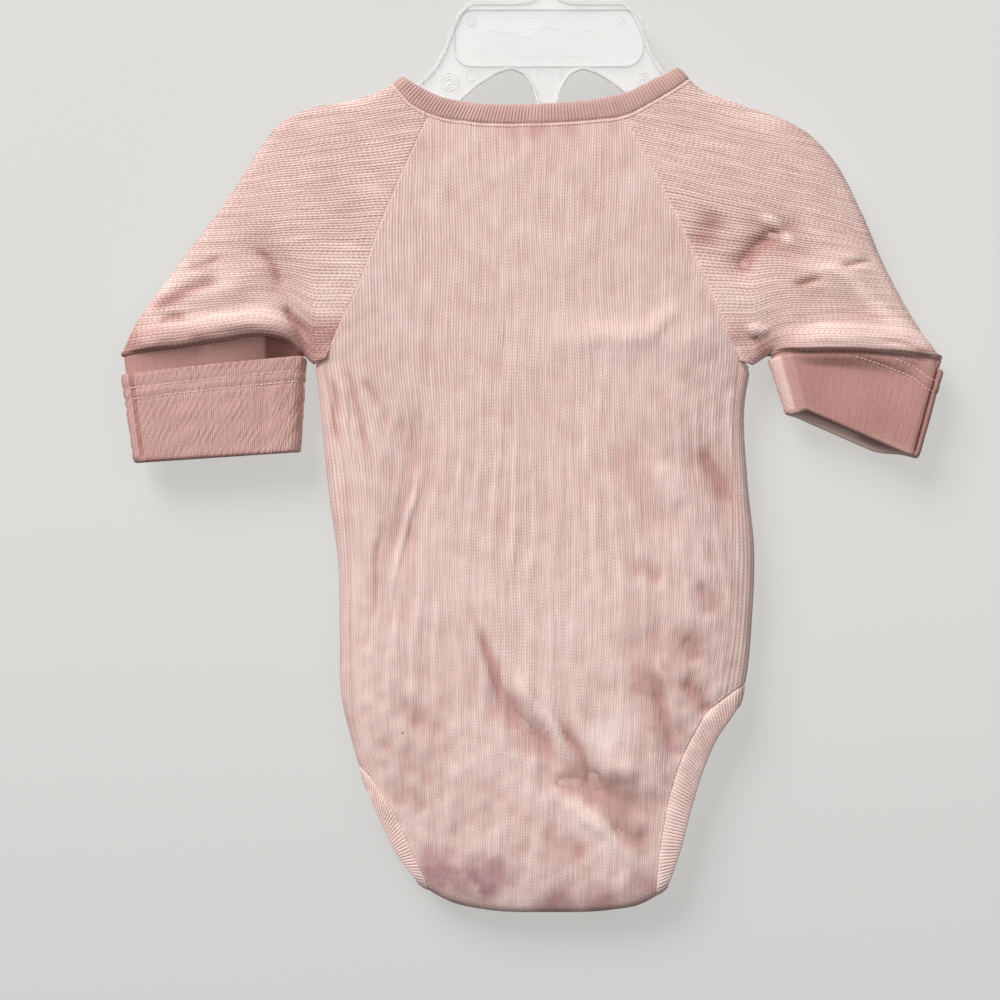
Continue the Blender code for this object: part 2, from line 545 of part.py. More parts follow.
def rolled_edge(loop):
    """Rows that carry a level loop of cloth down and inwards round a small roll."""
    inward = loop_inward(loop)
    down = np.array([0.0, 0.0, -1.0])
    return np.stack([loop + ROLL_RADIUS * (math.sin(math.radians(angle)) * down
                                           + (1 - math.cos(math.radians(angle))) * inward)
                     for angle in FOLD_ANGLES])


def cuff(side, lip):
    """The sleeve's end, turned back on itself: down inside, round the lower fold, and up outside."""
    size = CUFF_SIZES[side]
    lip = lip - (0, 0, CLOTH / 2)
    inner_end, outer_end = np.array(size.mouth_inner), np.array(size.mouth_outer)
    outermost = np.argmax(np.abs(lip[:, 0]))
    across = np.linalg.norm(lip[:, [0, 2]] - lip[0, [0, 2]], axis=1)
    across = np.clip(across / across[outermost], 0.0, 1.0)
    facing = np.where(np.arange(len(lip)) <= outermost, -1.0, 1.0)
    direction = (outer_end - inner_end) / np.linalg.norm(outer_end - inner_end)
    mouth_width = np.linalg.norm(outer_end - inner_end)
    lip_flat = lip[:, [0, 2]]
    hem = size.hem_inner * (1 - across) + size.hem_outer * across

    position = (across - 0.5) * mouth_width
    tip = 1 - np.clip((mouth_width / 2 - np.abs(position)) / CUFF_RADIUS, 0.0, 1.0)
    broad = np.sqrt(1 - tip**2)
    mouth = (inner_end + outer_end) / 2 + position[:, None] * direction
    from_end = mouth_width / 2 - np.abs(position)
    mouth[:, 1] -= size.far_drop * (facing > 0) * smoothstep(from_end / FAR_DROP_SPAN)
    upwards = lip_flat - mouth
    upwards /= np.linalg.norm(upwards, axis=1)[:, None]
    sideways = np.column_stack((upwards[:, 1], -upwards[:, 0])) * np.sign(direction[0])
    endwards = (np.sign(position) * tip)[:, None] * sideways

    def ring(height_share, outset):
        """The cuff's loop at a share of its height, moved out from its inner layer."""
        flat = mouth * (1 - height_share)[:, None] + lip_flat * height_share[:, None] + outset * endwards
        flare = smoothstep((height_share - CUFF_FLARE) / (1 - CUFF_FLARE))
        y = facing * broad * (CUFF_RADIUS * (1 - flare) + outset) + lip[:, 1] * flare
        return np.column_stack((flat[:, 0], y, flat[:, 1]))

    length = np.linalg.norm(ring(np.zeros(len(lip)), 0.0)[:, [0, 2]] - lip_flat, axis=1)
    inner_rows = [ring(np.full(len(lip), share), 0.0) for share in np.linspace(1, 0, CUFF_STEPS + 2)]
    turn_rows = [ring(-TURN_RADIUS * math.sin(math.radians(angle)) / length,
                      TURN_RADIUS * (1 - math.cos(math.radians(angle)))) for angle in (45, 90, 135)]
    top = np.minimum(hem, length - CUFF_CLEAR) / length
    outer_rows = [ring(top * share, 2 * TURN_RADIUS) for share in np.linspace(0, 1, CUFF_STEPS)]
    grid = np.stack(inner_rows + turn_rows + outer_rows)
    grid[:, -1] = grid[:, 0]
    return [grid]


# ---------------------------------------------------------------------------- bindings
def ribbon(seam, edge, side, shares, fold_start, fold_end):
    """A stretch of binding between its seam and its free edge, on one side of the garment."""
    inner, outer = curve_at(seam, shares), curve_at(edge, shares)
    across = np.linspace(0, 1, BINDING_COLUMNS + 1)
    flat = np.stack([inner * (1 - share) + outer * share for share in across], axis=1)
    grid = raise_grid(flat, side)
    if fold_start:
        grid[0, :, 1] = 0.0
    if fold_end:
        grid[-1, :, 1] = 0.0
    return grid


def neck_binding():
    grids = []
    sides = ((NECK_BACK_SEAM, NECK_BACK_EDGE, "back"), (NECK_FRONT_SEAM, NECK_FRONT_EDGE, "front"))
    for seam, edge, side in sides:
        length = length_of(seam)
        shares = spaced(length, NECK_STEPS, True, True) / length
        grids.append(ribbon(seam, edge, side, shares, True, True))
    return grids


def leg_binding(side):
    if side == "left":
        flap, flap_edge = FLAP_LEFT_SEAM, FLAP_LEFT_EDGE
        back, back_edge, panel_x = LEG_BACK_LEFT_SEAM, LEG_BACK_LEFT_EDGE, -78
        front, front_edge = LEG_FRONT_LEFT_SEAM, LEG_FRONT_LEFT_EDGE
    else:
        flap, flap_edge = FLAP_RIGHT_SEAM, FLAP_RIGHT_EDGE
        back, back_edge, panel_x = LEG_BACK_RIGHT_SEAM, LEG_BACK_RIGHT_EDGE, 75
        front, front_edge = LEG_FRONT_RIGHT_SEAM, LEG_FRONT_RIGHT_EDGE
    panel_start = share_where(back, panel_x)
    length = length_of(back)
    around = spaced(length * panel_start, 1, True, False, LEG_STRETCH * 0.5) / length
    back_shares = np.concatenate([around[:-1], leg_shares(back, panel_start, fold_end=True)])
    flap_length = length_of(flap)
    flap_shares = spaced(flap_length, FLAP_ROWS, True, False) / flap_length
    front_shares = leg_shares(front, 0.0, fold_start=True)
    return [ribbon(flap, flap_edge, "flap", flap_shares, True, False),
            ribbon(back, back_edge, "back", back_shares, True, True),
            ribbon(front, front_edge, "front", front_shares, True, False)]


# ---------------------------------------------------------------------------- hanger
def offset_line(line, amount):
    """A line moved sideways, to its right as it runs."""
    ahead = np.gradient(line, axis=0)
    ahead /= np.linalg.norm(ahead, axis=1)[:, None]
    return line + amount * np.column_stack((ahead[:, 1], -ahead[:, 0]))


def arm_top(shoulder, inner_x, outer_x, towards_inside):
    """The hanger's arm under the shoulder fold, from its inner end to its tip."""
    shares = np.linspace(share_where(shoulder, inner_x), share_where(shoulder, outer_x), 9)
    return offset_line(curve_at(shoulder, shares), towards_inside * HANGER_DROP)


def hook_outline():
    """Both sides of the hook, from the right of its neck over the top and back to the left."""
    centre = np.array([0.0, -HOOK_INSIDE])
    middle = HOOK_INSIDE + HOOK_WIDTH / 2
    turns = [math.radians(angle) for angle in np.linspace(HOOK_START, HOOK_END, 22)]
    arc = np.array([centre + middle * np.array([math.cos(turn), math.sin(turn)]) for turn in turns])
    line = np.vstack([np.array(HOOK_NECK, dtype=float), arc])
    outer, inner = offset_line(line, HOOK_WIDTH / 2), offset_line(line, -HOOK_WIDTH / 2)
    tip = arc[-1] + (arc[-1] - arc[-2]) / np.linalg.norm(arc[-1] - arc[-2]) * HOOK_WIDTH / 2
    return outer, tip, inner


def hanger_outline():
    right_neck = np.array(HANGER_NECK, dtype=float)
    left_neck = right_neck * (-1, 1)
    outer, tip, inner = hook_outline()
    flare_right = np.array(HOOK_FLARE, dtype=float)
    flare_left = flare_right * (-1, 1)
    arm_right = arm_top(SHOULDER_RIGHT, 70, 121, 1)
    arm_left = arm_top(SHOULDER_LEFT, -75, -124, -1)
    under_right = np.array(HANGER_UNDER, dtype=float)
    under_left = under_right * (-1, 1)
    return np.vstack([outer, tip[None], inner[::-1], flare_left, left_neck, arm_left, under_left,
                      under_right[::-1], arm_right[::-1], right_neck[::-1], flare_right[::-1]])


def flat_curve(name, outlines, half_thickness, rounding):
    curve = bpy.data.curves.new(name, "CURVE")
    curve.dimensions = "2D"
    curve.fill_mode = "BOTH"
    curve.extrude = (half_thickness - rounding) * METRES
    curve.bevel_depth = rounding * METRES
    curve.offset = -rounding * METRES
    curve.bevel_resolution = 1
    for outline in outlines:
        spline = curve.splines.new("POLY")
        spline.points.add(len(outline) - 1)
        for point, (x, z) in zip(spline.points, outline):
            point.co = (x * METRES, z * METRES, 0.0, 1.0)
        spline.use_cyclic_u = True
    return bpy.data.objects.new(name, curve)


def mesh_from_curve(name, flat, collection, material=None):
    """A standing mesh from a flat curve, its caps welded to its walls."""
    collection.objects.link(flat)
    flat.rotation_euler = (math.pi / 2, 0.0, 0.0)
    bpy.context.view_layer.update()
    mesh = bpy.data.meshes.new_from_object(flat.evaluated_get(bpy.context.evaluated_depsgraph_get()))
    mesh.transform(flat.matrix_world)
    mesh.name = name
    bm = bmesh.new()
    bm.from_mesh(mesh)
    bmesh.ops.remove_doubles(bm, verts=bm.verts[:], dist=0.00001)
    bmesh.ops.recalc_face_normals(bm, faces=bm.faces[:])
    bm.to_mesh(mesh)
    bm.free()
    solid = bpy.data.objects.new(name, mesh)
    collection.objects.link(solid)
    bpy.data.objects.remove(flat)
    if material:
        mesh.materials.clear()
        mesh.materials.append(material)
    return solid


def rounded_rectangle(low, high, radius, corner_points=5):
    points = []
    corners = ((high.x - radius, high.z - radius, 0), (low.x + radius, high.z - radius, 90),
               (low.x + radius, low.z + radius, 180), (high.x - radius, low.z + radius, 270))
    for x, z, start in corners:
        for step in range(corner_points):
            turn = math.radians(start + 90 * step / (corner_points - 1))
            points.append((x + radius * math.cos(turn), z + radius * math.sin(turn)))
    return points


def hanger(material):
    arch = np.array(HANGER_ARCH, dtype=float)
    outlines = [hanger_outline(), arch, arch * (-1, 1)]
    flat = flat_curve("hanger_outline", outlines, HANGER_THICK / 2, HANGER_ROUND)
    body = mesh_from_curve("hanger", flat, onesie, material)
    for name, face in (("label_back", -1), ("label_front", 1)):
        outline = flat_curve(name, [rounded_rectangle(LABEL_LOW, LABEL_HIGH, LABEL_ROUND)], LABEL_DEPTH, 0.0)
        cutter = mesh_from_curve(name, outline, cutters)
        cutter.location.y = face * HANGER_THICK / 2 * METRES
        cutter.hide_render = True
        cutter.display_type = "WIRE"
        cut = body.modifiers.new(name, "BOOLEAN")
        cut.object = cutter
        cut.operation = "DIFFERENCE"
    return body


# ---------------------------------------------------------------------------- snaps
def disc(name, x, z, near, far, radius, material):
    bpy.ops.mesh.primitive_cylinder_add(vertices=SNAP_SIDES, radius=radius * METRES,
                                        depth=abs(far - near) * METRES, rotation=(math.pi / 2, 0.0, 0.0),
                                        location=(x * METRES, (near + far) / 2 * METRES, z * METRES))
    piece = bpy.context.object
    piece.name = name
    piece.data.materials.append(material)
    for collection in piece.users_collection:
        collection.objects.unlink(piece)
    onesie.objects.link(piece)
    return piece


def snaps(material):
    flap_middle, front_middle = FOLD_RADIUS, LAP_DEPTH
    for number, place in enumerate(SNAPS, start=1):
        cap_near = front_middle + CLOTH / 2 + SNAP_CLEAR
        core_near = flap_middle + CLOTH / 2 + SNAP_CLEAR
        core_far = front_middle - CLOTH / 2 - SNAP_CLEAR
        ring_far = flap_middle - CLOTH / 2 - SNAP_CLEAR
        disc(f"snap_cap_{number}", place.x, place.z, cap_near, cap_near + SNAP_CAP, SNAP_RADIUS, material)
        disc(f"snap_core_{number}", place.x, place.z, core_near, core_far, SNAP_CORE_RADIUS, material)
        disc(f"snap_ring_{number}", place.x, place.z, ring_far - SNAP_RING, ring_far, SNAP_RADIUS, material)


# ---------------------------------------------------------------------------- the whole part
for old in list(bpy.data.objects):
    bpy.data.objects.remove(old)

onesie = bpy.data.collections.new("baby_onesie_on_hanger")
cutters = bpy.data.collections.new("cutters")
bpy.context.scene.collection.children.link(onesie)
bpy.context.scene.collection.children.link(cutters)

knit = material_for("rib_knit", KNIT_COLOUR, 0.9)
cuff_knit = material_for("cuff_knit", CUFF_COLOUR, 0.9)
binding_rib = material_for("binding_rib", BINDING_COLOUR, 0.88)
plastic = material_for("clear_plastic", PLASTIC_COLOUR, 0.12)
snap_metal = material_for("snap_metal", SNAP_COLOUR, 0.35, 0.6)

BINDING_SHARE = 2 * (BINDING - CLOTH / 2) / BINDING - 1

cloth("back_panel", back_panel(), knit)
cloth("front_panel", front_panel(), knit)
for hand in ("left", "right"):
    sleeve_grids, sleeve_lip = sleeve(hand)
    cloth(f"sleeve_{hand}", sleeve_grids, knit)
    cloth(f"cuff_{hand}", cuff(hand, sleeve_lip), cuff_knit)
    cloth(f"leg_binding_{hand}", leg_binding(hand), binding_rib, BINDING, BINDING_SHARE)
cloth("neck_binding", neck_binding(), binding_rib, BINDING, BINDING_SHARE)
hanger(plastic)
snaps(snap_metal)
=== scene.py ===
# %% [markdown]
# # A baby onesie on its hanger
#
# The garment is a newborn's bodysuit in fine rib knit. It hangs nearly flat, with its back towards us.
# The frame holds the plain solids of every piece. This lesson dresses them: each cloth piece gets real
# ribs, soft folds and sewing, and the hanger and the snaps get their moulded and pressed details.

# %% Load the frame
import math
from collections import namedtuple
from functools import partial

import bmesh
import bpy
import numpy as np
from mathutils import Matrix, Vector


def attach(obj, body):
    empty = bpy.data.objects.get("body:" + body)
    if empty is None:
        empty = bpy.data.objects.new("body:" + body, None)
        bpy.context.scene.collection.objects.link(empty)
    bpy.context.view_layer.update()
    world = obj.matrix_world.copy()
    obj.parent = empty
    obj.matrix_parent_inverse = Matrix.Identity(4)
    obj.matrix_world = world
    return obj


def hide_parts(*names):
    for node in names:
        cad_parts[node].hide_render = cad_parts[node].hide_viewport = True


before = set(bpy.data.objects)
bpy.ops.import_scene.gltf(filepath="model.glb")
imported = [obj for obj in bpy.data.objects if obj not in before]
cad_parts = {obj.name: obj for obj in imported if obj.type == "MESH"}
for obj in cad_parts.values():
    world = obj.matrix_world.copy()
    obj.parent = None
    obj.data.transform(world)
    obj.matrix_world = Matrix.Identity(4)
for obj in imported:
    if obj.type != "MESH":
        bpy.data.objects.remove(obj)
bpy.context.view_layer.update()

# %% [markdown]
# ## Units and two helpers
#
# Lengths are in millimetres, the unit a garment maker writes on a pattern, and become metres only as a mesh
# is made. Two helpers are shared by all that follows: one makes a mesh and the other puts a thing into the
# scene.

# %% Units and two helpers
METRES = 0.001


def mesh_of(name, points, faces):
    """A smoothly shaded mesh from points in millimetres."""
    mesh = bpy.data.meshes.new(name)
    mesh.from_pydata((np.asarray(points) * METRES).tolist(), [], faces)
    mesh.shade_smooth()
    return mesh


def placed(name, data):
    thing = bpy.data.objects.new(name, data)
    bpy.context.scene.collection.objects.link(thing)
    return thing


# %% [markdown]
# ## The pattern's outlines
#
# Seen from behind, every seam, fold and edge of the garment is a line in the plane of x and z. They could be
# drawn as curve objects, but rows of numbers are easier to share between pieces that must meet exactly,
# so each line is a short table and a smooth curve runs through its rows.

# %% Outline tables
Point = namedtuple("Point", "x z")
HANDS = ("left", "right")
FACES = ("back", "front")


def rows(*pairs):
    return [Point(x, z) for x, z in pairs]


SHOULDER = {
    "left": rows((-63, -80), (-67.5, -83.5), (-73.5, -86.5), (-84, -90.5), (-105, -94.5), (-116, -100),
                 (-126, -112), (-134, -125), (-143, -138), (-163, -164.5), (-181.5, -191), (-187, -203)),
    "right": rows((57, -76), (62, -81), (68, -86), (78, -90), (91, -94.5), (104, -99), (115, -105.5),
                  (125, -116), (137, -138), (148.5, -164.5), (163.5, -191), (173.5, -204.5)),
}
SIDE = {
    "left": rows((-101, -207.5), (-99, -226), (-95, -266), (-91.5, -290), (-90.5, -325), (-89.5, -354),
                 (-86, -368.5), (-82, -382.5), (-78.5, -393.5)),
    "right": rows((88.5, -209.5), (86.5, -221), (87.5, -257), (90.5, -288), (89.5, -318), (86.5, -346.5),
                  (84, -356.5)),
}
CROTCH = rows((-57, -433), (-51.5, -437), (-42, -442), (-26, -445.5), (1.5, -446.5), (28, -445.5), (41, -443),
              (47.5, -439.5), (53, -435))
RAGLAN = {
    ("back", "left"): rows((-51.5, -96.5), (-62.5, -120.5), (-73.5, -147), (-83, -173.5), (-90, -188),
                           (-97, -203.5)),
    ("back", "right"): rows((33, -97.5), (45.5, -120.5), (57, -143), (67.5, -166), (76, -186), (84.5, -205)),
    ("front", "left"): rows((-56, -108.5), (-65.5, -131.5), (-75.5, -156), (-86, -180), (-94, -196),
                            (-101, -207.5)),
    ("front", "right"): rows((50.5, -107.5), (59.5, -129.5), (68, -153.5), (76, -177), (82.5, -196),
                             (88.5, -209.5)),
}
SIDE_SEAM = {
    "left": rows((-97, -203.5), (-93, -226), (-88, -255), (-86, -285), (-85.5, -330), (-84, -362),
                 (-78, -386.5)),
    "right": rows((84.5, -205), (82.3, -228), (82, -262), (81.5, -300), (79.5, -330), (75, -354.5)),
}
NECK_SEAM = {
    "back": rows((-67.5, -83.5), (-60, -92), (-51.5, -96.5), (-33.5, -100), (-2, -100.5), (21.5, -99),
                 (33, -97.5), (45.5, -91.5), (55.5, -85.5), (62, -81)),
    "front": rows((-67.5, -83.5), (-64, -96.5), (-56, -108.5), (-42, -119.5), (-23, -127), (-2.5, -129),
                  (18, -127), (37, -119.5), (50.5, -107.5), (58.5, -95), (62, -81)),
}
NECK_EDGE = {
    "back": rows((-63, -80), (-57, -84), (-46.5, -89), (-33.5, -91.5), (-2, -92), (21.5, -90), (33.5, -87.5),
                 (45.5, -82), (57, -76)),
    "front": rows((-63, -80), (-58, -91), (-49.5, -103), (-37.5, -112), (-20.5, -118.5), (-2.5, -120.5),
                  (16, -118.5), (31.5, -112), (44.5, -101.5), (52, -90.5), (57, -76)),
}
LEG_SEAM = {
    ("back", "left"): rows((-82, -382.5), (-78, -386.5), (-71.5, -395.5), (-65.5, -405.5), (-60, -417.5),
                           (-55.5, -428), (-51.5, -437)),
    ("back", "right"): rows((86.5, -346.5), (80.5, -350.5), (75, -354.5), (68.5, -361), (64, -368.5),
                            (58.5, -380), (54.5, -392), (51.5, -406), (49, -422), (47.5, -439.5)),
    ("front", "left"): rows((-82, -382.5), (-75, -388), (-68, -396.5), (-62.5, -406.5), (-57.5, -416.5),
                            (-51.5, -428.5)),
    ("front", "right"): rows((86.5, -346.5), (80, -350), (74, -354.5), (67.5, -361.5), (62.5, -370),
                             (57, -381), (52.5, -393), (49.5, -407), (46.5, -428.5)),
}
LEG_EDGE = {
    ("back", "left"): rows((-78.5, -393.5), (-75.5, -401), (-71.5, -410), (-67, -419), (-62, -426.5),
                           (-57, -433)),
    ("back", "right"): rows((84, -356.5), (79.5, -363), (75, -369.5), (70.5, -379), (66.5, -390), (63, -402),
                            (59, -417.5), (56, -427), (53, -435)),
    ("front", "left"): rows((-78.5, -393.5), (-75, -399.5), (-71, -407), (-66, -416.5), (-60, -428.5)),
    ("front", "right"): rows((84, -356.5), (78.5, -361.5), (73, -369), (68, -379), (63.5, -391), (60, -405),
                             (55, -428.5)),
}
FLAP_SEAM = {
    "left": rows((-51.5, -437), (-51, -426), (-51, -416)),
    "right": rows((47.5, -439.5), (46.5, -428), (46.5, -416)),
}
FLAP_EDGE = {
    "left": rows((-57, -433), (-58.5, -424.5), (-60, -416)),
    "right": rows((53, -435), (54.5, -425.5), (55.5, -416)),
}
SLEEVE_END = {
    ("back", "left"): rows((-187, -203), (-179, -201.5), (-160, -199), (-140, -196), (-126, -194),
                           (-117, -195.5), (-111, -198.5), (-107.3, -202.5)),
    ("front", "left"): rows((-187, -203), (-165, -203), (-135, -201), (-115, -201.5), (-107.3, -202.5)),
    ("back", "right"): rows((98, -202.5), (103, -201), (115, -200.8), (138, -201), (158, -202.5),
                            (173.5, -204.5)),
    ("front", "right"): rows((98, -202.5), (106, -202), (125, -202), (155, -203), (173.5, -204.5)),
}
UNDERARM = {"left": Point(-102.4, -205.9), "right": Point(90.2, -206.2)}
TURN_LEFT, TURN_RIGHT = (FLAP_SEAM[hand][0].x for hand in HANDS)    # the ends of the turn at the crotch
print("turn at the crotch, mm:", TURN_LEFT, "to", TURN_RIGHT)

# %% [markdown]
# ## Smooth lines through a table
#
# A cubic curve through the rows keeps the maker's flowing seams with few numbers. A few small measures go
# with it: the way along a line, the distance from a point to a line, which way round an outline runs, and an
# easing step.

# %% Curves and distances
def run_along(line):
    """The way along a line to each of its points."""
    return np.concatenate(([0.0], np.cumsum(np.linalg.norm(np.diff(line, axis=0), axis=1))))


def curve_at(path, shares):
    """Points at the given shares of a smooth curve through a path's rows."""
    knots = np.array(path, dtype=float)
    along = run_along(knots)
    slope = np.gradient(knots, along, axis=0)
    distance = np.clip(np.asarray(shares, dtype=float), 0.0, 1.0) * along[-1]
    i = np.clip(np.searchsorted(along, distance, side="right") - 1, 0, len(along) - 2)
    span = (along[i + 1] - along[i])[:, None]
    t = (distance - along[i])[:, None] / span
    return ((2 * t**3 - 3 * t**2 + 1) * knots[i] + (t**3 - 2 * t**2 + t) * span * slope[i]
            + (3 * t**2 - 2 * t**3) * knots[i + 1] + (t**3 - t**2) * span * slope[i + 1])


def drawn(path, count=60):
    return curve_at(path, np.linspace(0, 1, count))


def length_of(path):
    return float(np.linalg.norm(np.diff(drawn(path), axis=0), axis=1).sum())


def smoothstep(x):
    x = np.clip(x, 0.0, 1.0)
    return x * x * (3 - 2 * x)


def unit(vectors):
    return vectors / np.maximum(np.linalg.norm(vectors, axis=-1, keepdims=True), 1e-9)


def paired(first, second):
    """Two values for each point of a grid, from arrays that may be one row or one column of it."""
    return np.stack(np.broadcast_arrays(first, second), axis=-1)


def turning(outline):
    """1 where a closed outline runs anticlockwise in its plane, and -1 where it runs clockwise."""
    x, y = outline.T
    return np.sign(np.sum(x * np.roll(y, -1) - np.roll(x, -1) * y))


def nearest_on(points, line):
    """Each point's distance to a line, its side of it (1 is to the left) and how far along the line it is."""
    start, step = line[:-1], np.diff(line, axis=0)
    from_start = points[:, None, :] - start[None]
    share = np.clip((from_start * step).sum(-1) / (step**2).sum(-1), 0.0, 1.0)
    offset = from_start - share[..., None] * step
    away = np.linalg.norm(offset, axis=-1)
    nearest = away.argmin(axis=1)
    pick = np.arange(len(points))
    turn = step[nearest, 0] * offset[pick, nearest, 1] - step[nearest, 1] * offset[pick, nearest, 0]
    reach = run_along(line)
    along = reach[nearest] + share[pick, nearest] * np.diff(reach)[nearest]
    return away[pick, nearest], np.sign(turn), along / reach[-1]


def distance_to(points, line):
    return nearest_on(points, line)[0]


print("shoulder lines, mm:", [round(length_of(SHOULDER[side])) for side in HANDS])

# %% [markdown]
# ## How deep the hanging garment is
#
# A flat-hung garment is two layers that part a little between its folds. Cloth simulation could find this
# shape, but the solids already state it as a rule, so the same rule is used here: each layer leaves the
# middle plane round a small fold and swells to a full depth further in.

# %% The rule for the depth
FOLD_RADIUS = 3.5
FOLD_LINE = 0.05
SWELL = 32.0
FOLD_SETTLE = 10.0
CREASE_SETTLE = 12.0
EDGE_DEPTH = 4.0
LAP_DEPTH = 7.5
LAP_TOP, LAP_BOTTOM = -370.0, -412.0
BODY_DEPTHS = rows((-450, 7.5), (-412, 7.5), (-370, 9.5), (-320, 10.5), (-260, 10.0), (-200, 8.6),
                   (-150, 7.5), (-110, 6.0), (-80, 5.0))

SIDE_FOLDS = [drawn(path) for path in (*SHOULDER.values(), *SIDE.values())]
CROTCH_FOLD = drawn(CROTCH)
FOLDS = {"back": SIDE_FOLDS + [CROTCH_FOLD], "front": SIDE_FOLDS, "flap": [CROTCH_FOLD]}
EDGES = {
    face: [drawn(path) for path in (NECK_EDGE[face], LEG_EDGE[face, "left"], LEG_EDGE[face, "right"])]
    for face in FACES
}


def half_depth(points, face, folds=None):
    """How far the cloth's middle lies from the garment's middle plane."""
    to_fold = np.min([distance_to(points, fold) for fold in folds or FOLDS[face]], axis=0)
    to_fold = np.maximum(to_fold - FOLD_LINE, 0.0)
    inset = 1 - np.clip(to_fold / FOLD_RADIUS, 0.0, 1.0)
    depth = FOLD_RADIUS * np.sqrt(1 - inset**2)
    if face == "flap":
        return depth
    to_edge = np.min([distance_to(points, edge) for edge in EDGES[face]] + [to_fold], axis=0)
    z = points[:, 1]
    edge_depth = np.full(len(points), EDGE_DEPTH)
    if face == "front":
        edge_depth = np.interp(z, (LAP_BOTTOM, LAP_TOP), (LAP_DEPTH, EDGE_DEPTH))
    table = np.array(BODY_DEPTHS)
    full_depth = np.interp(z, table[:, 0], table[:, 1])
    depth += (edge_depth - FOLD_RADIUS) * smoothstep(to_fold / FOLD_SETTLE)
    depth += (full_depth - edge_depth) * np.sin(np.pi / 2 * np.clip(to_edge / SWELL, 0.0, 1.0))
    return depth + creases(points, face) * smoothstep(to_edge / CREASE_SETTLE)


print("half depths from crotch to neck, mm:", [row.z for row in BODY_DEPTHS])

# %% [markdown]
# ## The folds that gravity and packing left
#
# Each large crease is listed: a line on the cloth, a rise (or a negative sink) and a width for each side of
# the line. A narrow side makes a crisp flank and a wide side a soft one, which is what sets a real crease
# apart from a round bump. The first table repeats the solids' largest creases and the second adds the finer
# ones. Long, faint ripples that fan out down the body come from a formula.

# %% Creases
Crease = namedtuple("Crease", "x0 z0 x1 z1 width rise")
MAIN_CREASES = {
    "back": [
        Crease(12, -195, 62, -196, 9, 1.4), Crease(-57, -240, -64, -283, 9, -1.3),
        Crease(-64, -283, -70, -316, 8, -1.0), Crease(33, -250, 48, -274, 10, -1.2),
        Crease(64, -246, 80, -265, 9, -1.3), Crease(-20, -353, 3, -379, 9, -2.0),
        Crease(3, -366, 20, -394, 9, -2.1), Crease(-6, -350, 12, -372, 8, 1.2),
        Crease(22, -390, 44, -402, 9, -1.6), Crease(46, -330, 50, -352, 10, -1.7),
        Crease(-62, -386, -48, -420, 9, -1.2), Crease(-171, -176, -140, -172, 8, 1.8),
        Crease(-160, -185, -132, -184, 8, -1.7), Crease(-126, -156, -117, -170, 8, -1.5),
        Crease(94, -144, 108, -158, 8, -1.5), Crease(84, -160, 103, -151, 8, -1.4),
        Crease(128, -165, 146, -161, 8, 1.5), Crease(120, -180, 150, -186, 9, -1.4),
    ],
    "front": [
        Crease(-30, -190, 24, -196, 10, 1.4), Crease(56, -232, 62, -282, 10, -1.4),
        Crease(-48, -252, -38, -286, 10, -1.3), Crease(2, -330, 26, -362, 10, -1.8),
        Crease(-34, -322, -14, -352, 10, -1.6), Crease(40, -300, 46, -330, 9, 1.2),
        Crease(132, -170, 158, -178, 8, 1.6), Crease(-150, -168, -126, -178, 8, -1.6),
        Crease(98, -150, 110, -170, 8, -1.4),
    ],
}

